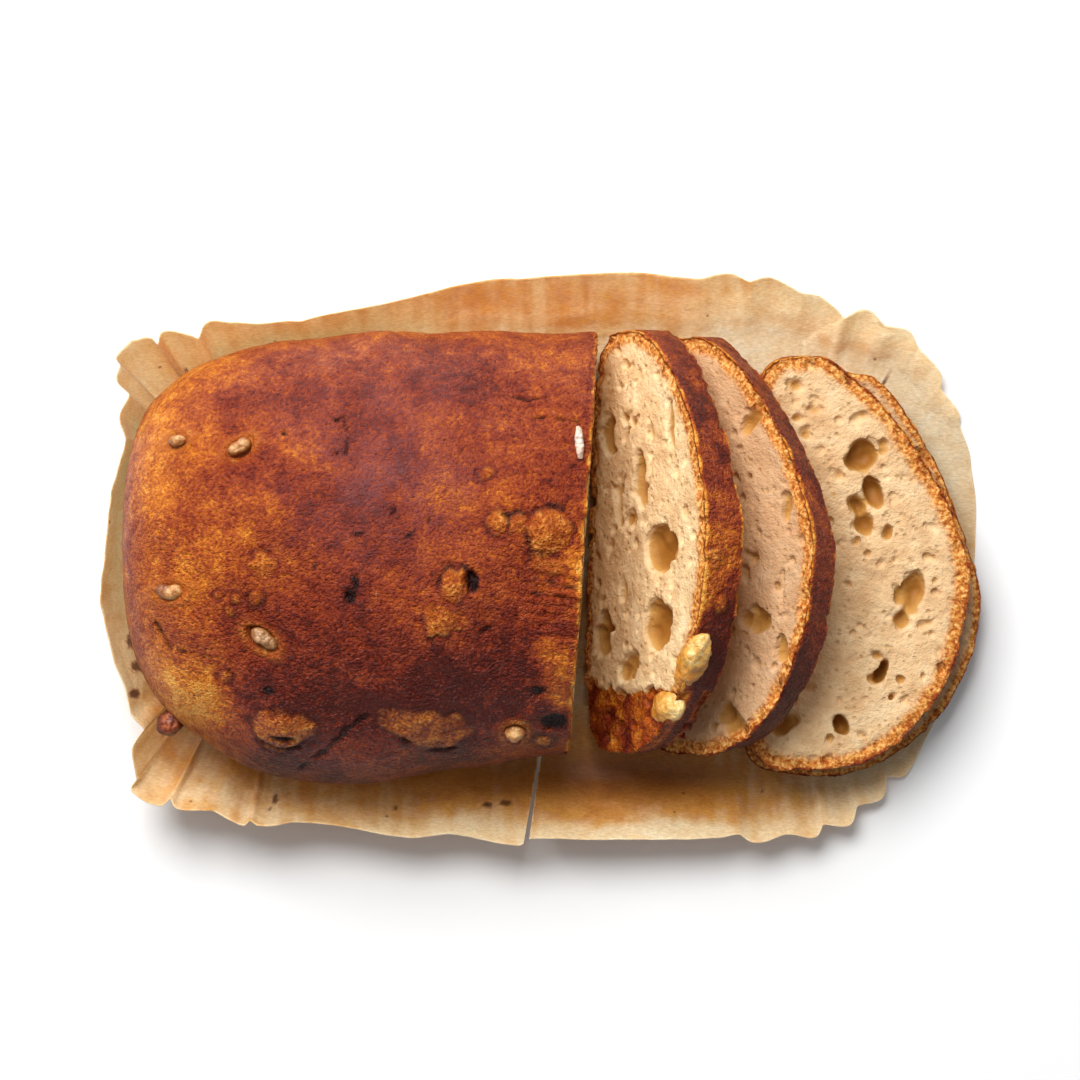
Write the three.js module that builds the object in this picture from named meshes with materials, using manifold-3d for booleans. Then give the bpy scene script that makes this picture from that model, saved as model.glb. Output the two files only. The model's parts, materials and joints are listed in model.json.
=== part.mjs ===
// A part-sliced sugar bread: a domed tin loaf with nibs of sugar baked into it, cut from one
// end, with four slices fanned out against each other, all lying in the baking paper that the
// loaf came in, which has been opened out around it.
// Millimetres. +Z is up, +X runs along the loaf from the uncut end to the slices, +Y is the back.
// The origin is the middle of the whole, on the surface that the paper lies on.
import * as THREE from "three";
import { mergeVertices } from "three/addons/utils/BufferGeometryUtils.js";
import Module from "manifold-3d";

const wasm = await Module();
wasm.setup();

// ---- Driving dimensions -------------------------------------------------------------------

// The loaf as it came from the tin, before it was cut
const UNCUT_END = 105; // from the widest section to the end that is still there
const CUT_END = 118; // to the end that was cut off
const LOAF_WIDTH = 113.6;
const LOAF_HEIGHT = 62;
const WAIST = 20; // height at which the sides are widest
const FRONT_DOME = 2.1; // how square the domed top is towards the front
const BACK_DOME = { block: 1.85, slices: 1.25, from: 12, to: 52 }; // it slopes off at the back
const FOOT_POWER = 5; // how square the foot is across the loaf
const END_POWER = 3.6; // how square the ends are, seen from above
const FOOT_END_POWER = 4; // how square the ends are at the foot, seen from the side
const FRONT_SWELL = { reach: 11, x: -54.2, spread: 48 }; // the front bulged out of the tin
const LOAF_ROWS = 56;
const LOAF_COLUMNS = 48;

// The cuts, along the loaf from its middle, all at one angle across it
const CUT_YAW = 4; // degrees off square
const CUT_START = 19.5;
const SLICES = [
  // thick: thickness. lean: degrees from upright. yaw: degrees turned towards the front.
  // at: the foot's near edge on the face towards the loaf, in x and y before the whole is centred.
  { name: "slice_1", thick: 11.6, lean: 29, yaw: 2, at: [13.2, -1] },
  { name: "slice_2", thick: 9.6, lean: 45, yaw: 0.5, at: [28.2, -3.4] },
  { name: "slice_3", thick: 10, lean: 90, yaw: 1.5, at: [55.8, -8.6] },
  { name: "slice_4", thick: 10, lean: 90, yaw: 10, at: [61.4, -9.9] },
];

const LOAF_AT = [-7.8, 0]; // middle of the uncut loaf, before the whole is centred
const PAPER_THICK = 0.4;
const GAP = 0.3; // air left between pieces that touch
const CENTRE = [1.8, -5]; // middle of the whole, which becomes the origin

const WELD = 1e-5; // points nearer than this are one
const BALL_DETAIL = 1; // how often the faces of a ball are divided

// ---- Helpers ------------------------------------------------------------------------------

const rad = THREE.MathUtils.degToRad;

// A geometry whose faces share their corners.
function weld(geometry) {
  const bare = geometry.clone();
  bare.deleteAttribute("normal");
  bare.deleteAttribute("uv");
  return mergeVertices(bare, WELD);
}

// A closed three.js geometry as a solid.
function toSolid(geometry) {
  const merged = weld(geometry);
  return new wasm.Manifold(
    new wasm.Mesh({
      numProp: 3,
      vertProperties: new Float32Array(merged.attributes.position.array),
      triVerts: new Uint32Array(merged.index.array),
    }),
  );
}

// A solid as a three.js geometry.
function toGeometry(solid) {
  const mesh = solid.getMesh();
  const stride = mesh.numProp;
  const points = new Float32Array(mesh.numVert * 3);
  for (let i = 0; i < mesh.numVert; i++)
    points.set(mesh.vertProperties.subarray(i * stride, i * stride + 3), i * 3);
  const geometry = new THREE.BufferGeometry();
  geometry.setAttribute("position", new THREE.BufferAttribute(points, 3));
  geometry.setIndex(new THREE.BufferAttribute(new Uint32Array(mesh.triVerts), 1));
  geometry.computeVertexNormals();
  return geometry;
}

// Moves every point of a geometry by a function of that point.
function reshape(geometry, move) {
  const place = geometry.attributes.position;
  const point = new THREE.Vector3();
  for (let i = 0; i < place.count; i++) {
    point.fromBufferAttribute(place, i);
    move(point);
    place.setXYZ(i, point.x, point.y, point.z);
  }
  return geometry;
}

const signedPower = (value, power) => Math.sign(value) * Math.abs(value) ** power;

function mesh(name, solid, material) {
  const made = new THREE.Mesh(toGeometry(solid), material);
  made.name = name;
  return made;
}

// ---- Materials ----------------------------------------------------------------------------

const crust = new THREE.MeshStandardMaterial({ color: 0x9c4a1e, roughness: 0.42, metalness: 0 });
const crumb = new THREE.MeshStandardMaterial({ color: 0xe6c898, roughness: 0.8, metalness: 0 });
const sugar = new THREE.MeshStandardMaterial({ color: 0xe3b865, roughness: 0.35, metalness: 0 });
const greasedPaper = new THREE.MeshStandardMaterial({ color: 0xd9b083, roughness: 0.7, metalness: 0 });

// ---- The uncut loaf -----------------------------------------------------------------------

// Blisters, lumps of sugar under the crust and the pits that they leave, by their place on the
// top of the loaf as seen from above: [x, y, radius, rise].
const BLISTERS = [
  [9.6, 2.6, 7, 1.6],
  [-14.5, -14, 12, 1.3],
  [-22.5, -49, 13, 1.8],
  [-61, -49, 10, 1.5],
  [-85, -40, 11, 1.2],
  [-65, -26, 7, -1.4],
  [-71, 24.4, 5, -1.3],
  [-88, 26.4, 5, -1],
  [-40, -8, 16, -0.7],
];

const BLISTER_FALL = 2; // how fast a blister falls off over its radius

// Broad swells, as [height, turns along x, its start, turns along y, its start], and slanting
// waves, as [height, turns along x, turns along y, start].
const SWELLS = [[0.45, 0.083, 0.9, 0.097, 0.4]];
const WAVES = [
  [0.3, 0.19, -0.11, 2.1],
  [0.22, 0.21, 0.27, 0.5],
];
const RELIEF_FROM = 6; // height at which the unevenness sets in
const RELIEF_FULL = WAIST + 8; // and where it is at its full

// The unevenness of the crust, in mm out from the smooth form. It fades towards the foot.
function relief(x, y, z) {
  let height = 0;
  for (const [size, alongX, startX, alongY, startY] of SWELLS)
    height += size * Math.sin(alongX * x + startX) * Math.sin(alongY * y + startY);
  for (const [size, alongX, alongY, start] of WAVES)
    height += size * Math.sin(alongX * x + alongY * y + start);
  for (const [blisterX, blisterY, radius, rise] of BLISTERS) {
    const away = ((x - blisterX) ** 2 + (y - blisterY) ** 2) / radius ** 2;
    if (z > WAIST) height += rise * Math.exp(-BLISTER_FALL * away);
  }
  return height * THREE.MathUtils.smoothstep(z, RELIEF_FROM, RELIEF_FULL);
}

// How much of its full section the loaf has at x, from 0 at its ends to 1.
function sectionScale(x, power) {
  const share = Math.min(1, Math.abs(x) / (x < 0 ? UNCUT_END : CUT_END));
  return (1 - share ** power) ** (1 / power);
}

function domePower(x, y) {
  if (y < 0) return FRONT_DOME;
  const share = THREE.MathUtils.smoothstep(x, BACK_DOME.from, BACK_DOME.to);
  return THREE.MathUtils.lerp(BACK_DOME.block, BACK_DOME.slices, share);
}

const SMOOTH_END = 0.5; // share of the full section below which the relief fades

// Each point of a unit sphere with its poles on X moves to the loaf's surface.
function loafPoint(point) {
  const angle = Math.atan2(point.z, point.y);
  const x = THREE.MathUtils.clamp(point.x, -1, 1) * (point.x < 0 ? UNCUT_END : CUT_END);
  const scale = sectionScale(x, END_POWER);
  const power = point.z > 0 ? domePower(x, point.y) : FOOT_POWER;
  const rise =
    point.z > 0 ? (LOAF_HEIGHT - WAIST) * scale : WAIST * sectionScale(x, FOOT_END_POWER);
  const across = signedPower(Math.cos(angle), 2 / power);
  const up = signedPower(Math.sin(angle), 2 / power);
  const far = (x - FRONT_SWELL.x) / FRONT_SWELL.spread;
  const swell = across < 0 ? FRONT_SWELL.reach * Math.exp(-far * far) : 0;
  point.set(x, across * scale * (LOAF_WIDTH / 2 + swell), WAIST + rise * up);
  const out = new THREE.Vector3(0, across, up).normalize();
  const steady = Math.min(1, scale / SMOOTH_END);
  point.addScaledVector(out, relief(point.x, point.y, point.z) * steady);
}

const ball = new THREE.SphereGeometry(1, LOAF_COLUMNS, LOAF_ROWS).rotateZ(Math.PI / 2);
const uncut = toSolid(reshape(weld(ball), loafPoint));

// ---- Cutting it ---------------------------------------------------------------------------

const OVERSIZE = 3; // a cutting block is this much larger than the loaf

// A block that spans the loaf between two stations, square to the cuts, in the loaf's frame.
function slab(from, to) {
  const box = new THREE.BoxGeometry(to - from, OVERSIZE * LOAF_WIDTH, OVERSIZE * LOAF_HEIGHT);
  box.translate((from + to) / 2, 0, LOAF_HEIGHT / 2);
  box.rotateZ(-rad(CUT_YAW));
  return toSolid(box);
}

// Turns what was cut at a station square, with the cut face on the plane x = 0.
function squareUp(solid, station) {
  return toSolid(toGeometry(solid).rotateZ(rad(CUT_YAW)).translate(-station, 0, 0));
}

// An air hole: an oval hollow whose middle lies on a face that is square to X.
function airHole([y, z, acrossY, acrossZ, turn = 0], faceX, depth) {
  const ball = new THREE.IcosahedronGeometry(1, BALL_DETAIL);
  ball.scale(depth, acrossY / 2, acrossZ / 2);
  ball.rotateX(rad(turn));
  ball.translate(faceX, y, z);
  return toSolid(ball);
}

// The large air holes on the faces towards the loaf, in each slice's own frame, with y across
// and z up from the foot: [y, z, width, height, turn].
const HOLES = {
  slice_1: [
    [32.3, 41, 14, 4.5, -12],
    [17.7, 27.2, 16, 7, -12],
    [30, 9, 13, 9, -15],
    [-0.8, 38, 15, 17, 0],
    [-20.8, 37.7, 13, 16, 0],
    [-26, 10, 12, 9, 15],
  ],
  slice_2: [
    [36.1, 40, 10, 7, 35],
    [-18, 42.4, 8, 9, 0],
    [-25.3, 51, 8, 5.5, 0],
    [12.7, 52.5, 8, 4, 10],
    [-46, 34, 9, 9, 0],
  ],
  slice_3: [
    [32.1, 30.9, 9, 10, -35],
    [22.3, 34.4, 9, 6, -20],
    [16.8, 31.6, 12, 6, -30],
    [-4.4, 46.3, 13, 8, 10],
    [-14.2, 44.7, 5, 8, 0],
    [-26.4, 37.9, 8, 4, 25],
    [-41.2, 27.4, 5, 7, -30],
    [-41, 11, 7, 8, 0],
  ],
  slice_4: [
    [39, 37, 6, 7, 0],
    [8, 50, 8, 4, 0],
    [-25, 30, 9, 7, 0],
  ],
};
const HOLE_DEPTH = 3.2;

// ---- Nibs of sugar ------------------------------------------------------------------------

// How much the lumps bulge, as a share of their size, and how often along each axis
const KNOBS = { share: 0.1, along: [5, 4, 3], start: 2 };

// A knobbly lump, rolled about X, then tipped about Y, then turned about Z.
function lump({ size, roll = 0, tip = 0, turn = 0, at }, grow = 0) {
  const ball = new THREE.IcosahedronGeometry(1, BALL_DETAIL);
  reshape(ball, (point) => {
    const [x, y, z] = point.toArray().map((value, axis) => KNOBS.along[axis] * value);
    point.multiplyScalar(1 + KNOBS.share * Math.sin(x + KNOBS.start) * Math.cos(y + z));
    point.multiply(new THREE.Vector3(...size.map((side) => side / 2 + grow)));
  });
  ball.rotateX(rad(roll));
  ball.rotateY(rad(tip));
  ball.rotateZ(rad(turn));
  ball.translate(...at);
  return toSolid(ball);
}

// In the loaf's frame, on its crust
const LOAF_NIBS = [
  { name: "nib_flake", size: [2.4, 9.4, 1.6], turn: 4, at: [18, 25.4, 58.5] },
  { name: "nib_pit_back", size: [7, 4, 3], turn: 25, at: [-71, 24.4, 54.2] },
  { name: "nib_pit_end", size: [5.5, 3.2, 3], turn: 12, tip: -20, at: [-88.2, 26.2, 48.6] },
  { name: "nib_pit_front", size: [8.5, 4, 3], turn: -35, at: [-64.5, -25.8, 56] },
  { name: "nib_end", size: [8, 4.6, 3.4], turn: 0, tip: -20, at: [-89.8, -13.6, 51.9] },
  { name: "nib_caramel", size: [8, 7, 7], turn: 50, at: [-92.4, -49.6, 24] },
  { name: "nib_chip", size: [5.5, 5, 3], turn: 20, at: [1.2, -51.4, 44.2] },
];

// In the first slice's own frame, at its front shoulder
const SLICE_NIBS = [
  { name: "nib_melted", size: [8, 18, 8], roll: 37, at: [2, -29.5, 54.6] },
  { name: "nib_honey", size: [7, 9, 14], roll: -10, at: [2, -42.6, 42.8] },
];

function clearOf(solid, nibs) {
  return nibs.reduce((left, nib) => left.subtract(lump(nib, GAP)), solid);
}

// ---- The block and its slices -------------------------------------------------------------

const bread = new THREE.Group();

const loafGroup = new THREE.Group();
loafGroup.position.set(LOAF_AT[0], LOAF_AT[1], PAPER_THICK + GAP);
const block = uncut.intersect(slab(-2 * UNCUT_END, CUT_START));
loafGroup.add(mesh("loaf", clearOf(block, LOAF_NIBS), crust));
for (const nib of LOAF_NIBS) loafGroup.add(mesh(nib.name, lump(nib), sugar));
bread.add(loafGroup);

let station = CUT_START;
for (const slice of SLICES) {
  const cut = uncut.intersect(slab(station, station + slice.thick));
  let solid = squareUp(cut, station);
  for (const hole of HOLES[slice.name]) solid = solid.subtract(airHole(hole, 0, HOLE_DEPTH));
  const nibs = slice.name === "slice_1" ? SLICE_NIBS : [];
  // The foot of the first slices stands on the paper; the others lie one on the other.
  const below = slice.name === "slice_3" ? slice.thick + GAP : 0;
  const lift = PAPER_THICK + GAP + below + slice.thick * Math.sin(rad(slice.lean));
  const laid = new THREE.Group();
  laid.rotation.set(0, rad(slice.lean), -rad(slice.yaw), "ZYX");
  laid.position.set(slice.at[0], slice.at[1], lift);
  laid.add(mesh(slice.name, clearOf(solid, nibs), crumb));
  for (const nib of nibs) laid.add(mesh(nib.name, lump(nib), sugar));
  bread.add(laid);
  station += slice.thick;
}

// ---- The baking paper ---------------------------------------------------------------------

// Its edge, seen from above: [x, y, height of the edge, run of the slope in from it,
// pleats up to the next point].
const EDGE = [
  [-118.5, -10.9, 26, 8.5, 0],
  [-117.2, 5.4, 26, 8, 0],
  [-115.2, 18.4, 26, 7, 0],
  [-113.3, 29.9, 25, 6.5, 0],
  [-115.3, 42.1, 24, 12, 1],
  [-114.7, 52.2, 24, 18, 2],
  [-104.4, 56, 24, 18, 2],
  [-92.4, 58.7, 24, 15, 1],
  [-81.7, 59.3, 23, 11, 0],
  [-60, 60.8, 21, 9.5, 0],
  [-41, 64.5, 20, 12, 0],
  [-19.2, 69.8, 18, 16, 0],
  [2.7, 72.2, 16, 17, 1],
  [25.3, 73.4, 14, 17, 1],
  [44, 72.4, 13, 17, 2],
  [60.6, 72.2, 12, 13, 2],
  [76, 67.4, 10, 12, 2],
  [91.9, 63.1, 8, 12, 1],
  [103.2, 57.2, 6, 11, 2],
  [112.5, 43.2, 3, 8, 1],
  [119, 27.9, 0, 6, 0],
  [121.8, 11.2, 0, 6, 0],
  [121.2, -5.6, 0, 6, 0],
  [119.6, -22.3, 0, 6, 0],
  [114.5, -41.9, 0, 6, 0],
  [104.6, -59.2, 1, 4, 2],
  [95.7, -70.4, 4, 6, 2],
  [82.5, -80.3, 8, 11, 2],
  [64.8, -83.2, 12, 14, 1],
  [48.1, -81.9, 14, 16, 0],
  [30.2, -81.9, 15, 18, 0],
  [13.7, -82, 16, 19, 0],
  [-5.5, -83.7, 16, 20, 0],
  [-27.4, -81.8, 16, 20, 0],
  [-46.6, -80.6, 17, 18, 0],
  [-65.7, -78.3, 18, 14, 1],
  [-83.4, -77.9, 19, 14, 2],
  [-98.3, -74.3, 20, 17, 2],
  [-110.2, -68.2, 21, 21, 2],
  [-110.9, -55, 22, 17, 1],
  [-113.6, -40.8, 24, 11, 1],
  [-117.3, -25.8, 25, 9.5, 0],
];
const SPINE = { from: -72, to: 72, y: -4 }; // the slopes run in towards this line
const PLEAT_DEPTH = 1.7; // half of it, from ridge to groove
const PLEAT_SINK = 0.8; // the ridges lie below the edge's own line by the rest of a depth
const FLAT_EDGE = 2; // where the edge is lower than this, the pleats only run sideways
const SLOPE_POWER = 1.3;
const SLOPE_ROWS = 3;
const PLAIN_COLUMNS = 2;

const edgeCurve = new THREE.CatmullRomCurve3(
  EDGE.map(([x, y, height]) => new THREE.Vector3(x, y, height)),
  true,
);

// The columns of the paper's mesh: its foot and its edge, and which way each is pleated.
const columns = EDGE.flatMap(([, , , run, pleats], i) => {
  const nextRun = EDGE[(i + 1) % EDGE.length][3];
  const steps = pleats ? 2 * pleats : PLAIN_COLUMNS;
  return Array.from({ length: steps }, (_, k) => {
    const edge = edgeCurve.getPoint((i + k / steps) / EDGE.length);
    edge.z = Math.max(edge.z, 0);
    const inner = new THREE.Vector3(
      THREE.MathUtils.clamp(edge.x, SPINE.from, SPINE.to),
      SPINE.y,
      edge.z,
    );
    const inward = inner.sub(edge).normalize();
    const length = THREE.MathUtils.lerp(run, nextRun, k / steps);
    const foot = edge.clone().addScaledVector(inward, length).setZ(0);
    const fold = pleats ? (k % 2 ? -1 : 1) : 0;
    return { edge, foot, inward, fold };
  });
});

// The paper's upper face at a column, t of the way from its foot to its edge.
function slopePoint({ edge, foot, inward, fold }, t) {
  const point = foot.clone().lerp(edge, t).setZ(edge.z * t ** SLOPE_POWER);
  const steep = Math.atan2(edge.z, foot.distanceTo(edge));
  const out = inward.clone().negate().multiplyScalar(Math.cos(steep));
  out.z = edge.z > FLAT_EDGE ? Math.sin(steep) : 0;
  return point.addScaledVector(out, fold ? (fold - PLEAT_SINK) * PLEAT_DEPTH * t : 0);
}

function paperSolid() {
  const rings = [];
  for (let row = 0; row <= SLOPE_ROWS; row++)
    rings.push(columns.map((column) => slopePoint(column, row / SLOPE_ROWS)));
  const count = columns.length;
  const ringSize = count * rings.length;
  const upper = [];
  const lower = [];
  rings.forEach((ring, row) =>
    ring.forEach((point, i) => {
      const { edge, foot, inward } = columns[i];
      const steep = row ? Math.atan2(edge.z, foot.distanceTo(edge)) : 0;
      const under = inward.clone().multiplyScalar(-Math.sin(steep)).setZ(-Math.cos(steep));
      upper.push(point.clone().setZ(point.z + PAPER_THICK));
      const below = upper.at(-1).clone().addScaledVector(under, PAPER_THICK);
      lower.push(below.setZ(row ? Math.max(below.z, 0) : 0));
    }),
  );
  const middle = new THREE.Vector3(0, SPINE.y, 0);
  const points = [...upper, ...lower, middle.clone().setZ(PAPER_THICK), middle];
  const faces = [];
  const both = (a, b, c) => faces.push(a, b, c, ringSize + a, ringSize + c, ringSize + b);
  for (let i = 0; i < count; i++) {
    const next = (i + 1) % count;
    faces.push(2 * ringSize, next, i, 2 * ringSize + 1, ringSize + i, ringSize + next);
    for (let row = 0; row < SLOPE_ROWS; row++) {
      const [a, b] = [row * count + i, row * count + next];
      both(a, b, b + count);
      both(a, b + count, a + count);
    }
    const [rim, rimNext] = [SLOPE_ROWS * count + i, SLOPE_ROWS * count + next];
    faces.push(rim, rimNext, ringSize + rimNext, rim, ringSize + rimNext, ringSize + rim);
  }
  const geometry = new THREE.BufferGeometry().setFromPoints(points);
  geometry.setIndex(faces);
  return toSolid(geometry);
}

// The front of the paper is torn from its edge in to the loaf.
const TEAR = { from: [-6.4, -90], to: [0, -60], width: 1.4, height: 80 };

function tearSolid() {
  const [x0, y0] = TEAR.from;
  const [x1, y1] = TEAR.to;
  const gash = new THREE.BoxGeometry(TEAR.width, Math.hypot(x1 - x0, y1 - y0), TEAR.height);
  gash.rotateZ(Math.atan2(y1 - y0, x1 - x0) - Math.PI / 2);
  gash.translate((x0 + x1) / 2, (y0 + y1) / 2, 0);
  return toSolid(gash);
}

const paper = paperSolid().subtract(tearSolid());

// ---- The whole ----------------------------------------------------------------------------

const whole = new THREE.Group();
whole.name = "sugar_bread";
bread.add(mesh("paper_case", paper, greasedPaper));
bread.position.set(-CENTRE[0], -CENTRE[1], 0);
whole.add(bread);

export default whole;
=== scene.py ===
# %% [markdown]
# # A part-sliced sugar bread in its baking paper
#
# The picture looks straight down on a small tin loaf that has nibs of sugar baked into it. Its right end
# is cut off, and four slices lean on each other and lie fanned out beside it, all in the opened paper
# case that the loaf was baked in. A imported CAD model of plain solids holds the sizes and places. This
# lesson gives every solid its real surface: crust, crumb with air holes, melted sugar and greased paper.
#
# Everything is in metres in the frame of the CAD model: +X runs to the slices, +Y to the back, +Z up.

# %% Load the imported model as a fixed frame
import itertools
import json
import math

import bpy
import numpy as np
from mathutils import Matrix, Vector
from mathutils.bvhtree import BVHTree

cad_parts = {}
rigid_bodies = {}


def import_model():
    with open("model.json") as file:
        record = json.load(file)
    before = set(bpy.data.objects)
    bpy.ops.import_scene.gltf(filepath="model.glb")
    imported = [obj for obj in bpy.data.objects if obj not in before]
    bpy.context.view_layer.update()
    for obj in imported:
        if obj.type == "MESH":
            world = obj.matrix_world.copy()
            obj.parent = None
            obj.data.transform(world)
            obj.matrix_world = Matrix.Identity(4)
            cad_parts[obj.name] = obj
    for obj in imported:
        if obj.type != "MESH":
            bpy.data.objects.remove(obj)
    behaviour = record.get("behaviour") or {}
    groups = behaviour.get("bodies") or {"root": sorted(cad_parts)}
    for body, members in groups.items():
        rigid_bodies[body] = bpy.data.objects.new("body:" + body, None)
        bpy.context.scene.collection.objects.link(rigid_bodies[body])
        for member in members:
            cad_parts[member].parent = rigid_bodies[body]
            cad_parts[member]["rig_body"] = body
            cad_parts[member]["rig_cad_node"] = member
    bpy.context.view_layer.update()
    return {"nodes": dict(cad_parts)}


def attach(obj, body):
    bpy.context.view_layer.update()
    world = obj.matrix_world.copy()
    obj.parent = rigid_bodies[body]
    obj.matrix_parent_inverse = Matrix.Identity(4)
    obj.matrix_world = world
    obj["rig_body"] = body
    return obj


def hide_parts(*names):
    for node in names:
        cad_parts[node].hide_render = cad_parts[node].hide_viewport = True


MM = 0.001  # a millimetre, in metres

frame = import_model()
print("CAD nodes:", ", ".join(sorted(frame["nodes"])))

# %% [markdown]
# ## Helpers for working by hand
#
# An operator acts on all that is selected, and the model's nodes are selected when they arrive. So each
# step first picks the one object that it works on. A modifier is added, set and applied in one go.


# %% Helpers for objects
def pick(obj):
    """Selects one object and makes it the active one."""
    if bpy.context.mode != "OBJECT":
        bpy.ops.object.mode_set(mode="OBJECT")
    bpy.ops.object.select_all(action="DESELECT")
    obj.select_set(True)
    bpy.context.view_layer.objects.active = obj
    return obj


def named(name):
    """Gives the object that an operator has just made its name."""
    made = bpy.context.active_object
    made.name = name
    made.data.name = name
    return made


def modify(obj, kind, **settings):
    """Adds a modifier, sets it and applies it."""
    pick(obj)
    modifier = obj.modifiers.new(kind, kind)
    for name, value in settings.items():
        setattr(modifier, name, value)
    bpy.ops.object.modifier_apply(modifier=modifier.name)
    return obj


def edit(obj, *steps):
    """Runs steps in edit mode, each on all of the mesh unless it chooses for itself."""
    pick(obj)
    bpy.ops.object.mode_set(mode="EDIT")
    for step in steps:
        bpy.ops.mesh.select_all(action="SELECT")
        step()
    bpy.ops.object.mode_set(mode="OBJECT")
    return obj


def apply_place(obj, location=(0, 0, 0), turn=(0, 0, 0)):
    """Moves and turns an object, and puts its place into its mesh."""
    obj.location = location
    obj.rotation_euler = turn
    pick(obj)
    bpy.ops.object.transform_apply(location=True, rotation=True, scale=True)
    return obj


def points_of(obj):
    found = np.empty(3 * len(obj.data.vertices), np.float32)
    obj.data.vertices.foreach_get("co", found)
    return found.reshape(-1, 3).astype(float)


def normals_of(obj):
    found = np.empty(3 * len(obj.data.vertices), np.float32)
    obj.data.vertex_normals.foreach_get("vector", found)
    return found.reshape(-1, 3).astype(float)


def move_points(obj, places):
    obj.data.vertices.foreach_set("co", places.astype(np.float32).ravel())
    obj.data.update()


def write_attribute(obj, name, values):
    """Stores a number or a vector at each vertex, for the materials to read."""
    vector = values.ndim == 2
    layer = obj.data.attributes.new(name, "FLOAT_VECTOR" if vector else "FLOAT", "POINT")
    layer.data.foreach_set("vector" if vector else "value", values.astype(np.float32).ravel())


# %% [markdown]
# ## Randomness that stays the same
#
# Dough is uneven at every scale. This function gives soft random values from -1 to 1, like a cloudy
# texture, at any list of points. It is seeded, so each run of the lesson bakes the same loaf.


# %% Soft noise
def noise(places, size, seed=0):
    """Soft random values from -1 to 1 that change over about `size`, at each of the places."""
    table = np.random.default_rng(seed).uniform(-1, 1, (24, 24, 24))
    cell = np.floor(places / size).astype(int)
    part = places / size - cell
    part = part * part * (3 - 2 * part)
    total = np.zeros(len(places))
    for corner in itertools.product((0, 1), repeat=3):
        share = np.prod(np.where(corner, part, 1 - part), axis=1)
        i, j, k = ((cell + corner) % 24).T
        total += share * table[i, j, k]
    return total


def smoothstep(value, low, high):
    share = np.clip((value - low) / (high - low), 0, 1)
    return share * share * (3 - 2 * share)


# %% [markdown]
# ## The uncut loaf
#
# Block and slices were one loaf, so one loaf is shaped and then really cut. It starts as a ball with its
# poles at the loaf's ends. Seen along its length a loaf is a rounded square: a superellipse, where a
# higher power is squarer. The domed top, the sloping back and the tin's square foot each have their
# power. These are the sizes of the CAD model, in millimetres, so the looks fit the solids.

# %% Sizes of the uncut loaf
UNCUT_END, CUT_END = 105, 118  # from the widest section to either end
LOAF_WIDTH, LOAF_HEIGHT = 113.6, 62
WAIST = 20  # height at which the sides are widest
FRONT_DOME, FOOT_POWER = 2.1, 5
BACK_DOME = {"block": 1.85, "slices": 1.25, "from": 12, "to": 52}
END_POWER, FOOT_END_POWER = 3.6, 4
FRONT_SWELL = {"reach": 11, "x": -54.2, "spread": 48}
LOAF_PLACE = Vector((-9.6, 5, 0.7)) * MM  # the loaf's own frame, in the part's


# %% The loaf's section at any station
def section_scale(x, power):
    """How much of its full section the loaf has at x, from 0 at its ends to 1."""
    share = np.minimum(1, np.abs(x) / np.where(x < 0, UNCUT_END, CUT_END))
    return (1 - share**power) ** (1 / power)


def section(x, angle):
    """Half-width, rise and power of the section at x, on the side that the angle points to; the front's
    swell is part of the half-width.
    """
    scale = section_scale(x, END_POWER)
    back = smoothstep(x, BACK_DOME["from"], BACK_DOME["to"])
    back_power = BACK_DOME["block"] + (BACK_DOME["slices"] - BACK_DOME["block"]) * back
    dome = np.where(np.cos(angle) < 0, FRONT_DOME, back_power)
    upper = np.sin(angle) > 0
    power = np.where(upper, dome, FOOT_POWER)
    swell = FRONT_SWELL["reach"] * np.exp(-(((x - FRONT_SWELL["x"]) / FRONT_SWELL["spread"]) ** 2))
    width = scale * (LOAF_WIDTH / 2 + np.where(np.cos(angle) < 0, swell, 0))
    foot = WAIST * section_scale(x, FOOT_END_POWER)
    rise = np.where(upper, (LOAF_HEIGHT - WAIST) * scale, foot)
    return width, rise, power


def loaf_point(x, angle, share=1.0):
    """The loaf's outside at a station and an angle, or a share of the way out to it."""
    width, rise, power = section(x, angle)
    across, up = np.cos(angle), np.sin(angle)
    reach = share * (np.abs(across) ** power + np.abs(up) ** power) ** (-1 / power)
    return np.stack([x, reach * across * width, WAIST + reach * up * rise], axis=1)


# %% Shape it from a ball
bpy.ops.object.select_all(action="DESELECT")
bpy.ops.mesh.primitive_uv_sphere_add(segments=256, ring_count=192, radius=1)
uncut = named("uncut_loaf")
apply_place(uncut, turn=(0, math.pi / 2, 0))

ball = points_of(uncut)
along = np.clip(ball[:, 0], -1, 1)
stations = along * np.where(along < 0, UNCUT_END, CUT_END)
move_points(uncut, loaf_point(stations, np.arctan2(ball[:, 2], ball[:, 1])) * MM)
uncut_tree = BVHTree.FromObject(uncut, bpy.context.evaluated_depsgraph_get())
print("uncut loaf:", [round(side / MM, 1) for side in uncut.dimensions], "mm")

# %% [markdown]
# ## Air holes
#
# Yeast leaves gas bubbles, and a cut goes through them, so the same hole shows on both sides of the cut.
# The largest ones in the picture are placed one by one. A large hole is rarely a neat oval, so smaller
# bubbles are joined to its edge. Hundreds of small pores are scattered over each cut, more of them small
# than large. One ball is modelled, and all the bubbles are copies of it, squashed and turned.

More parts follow.
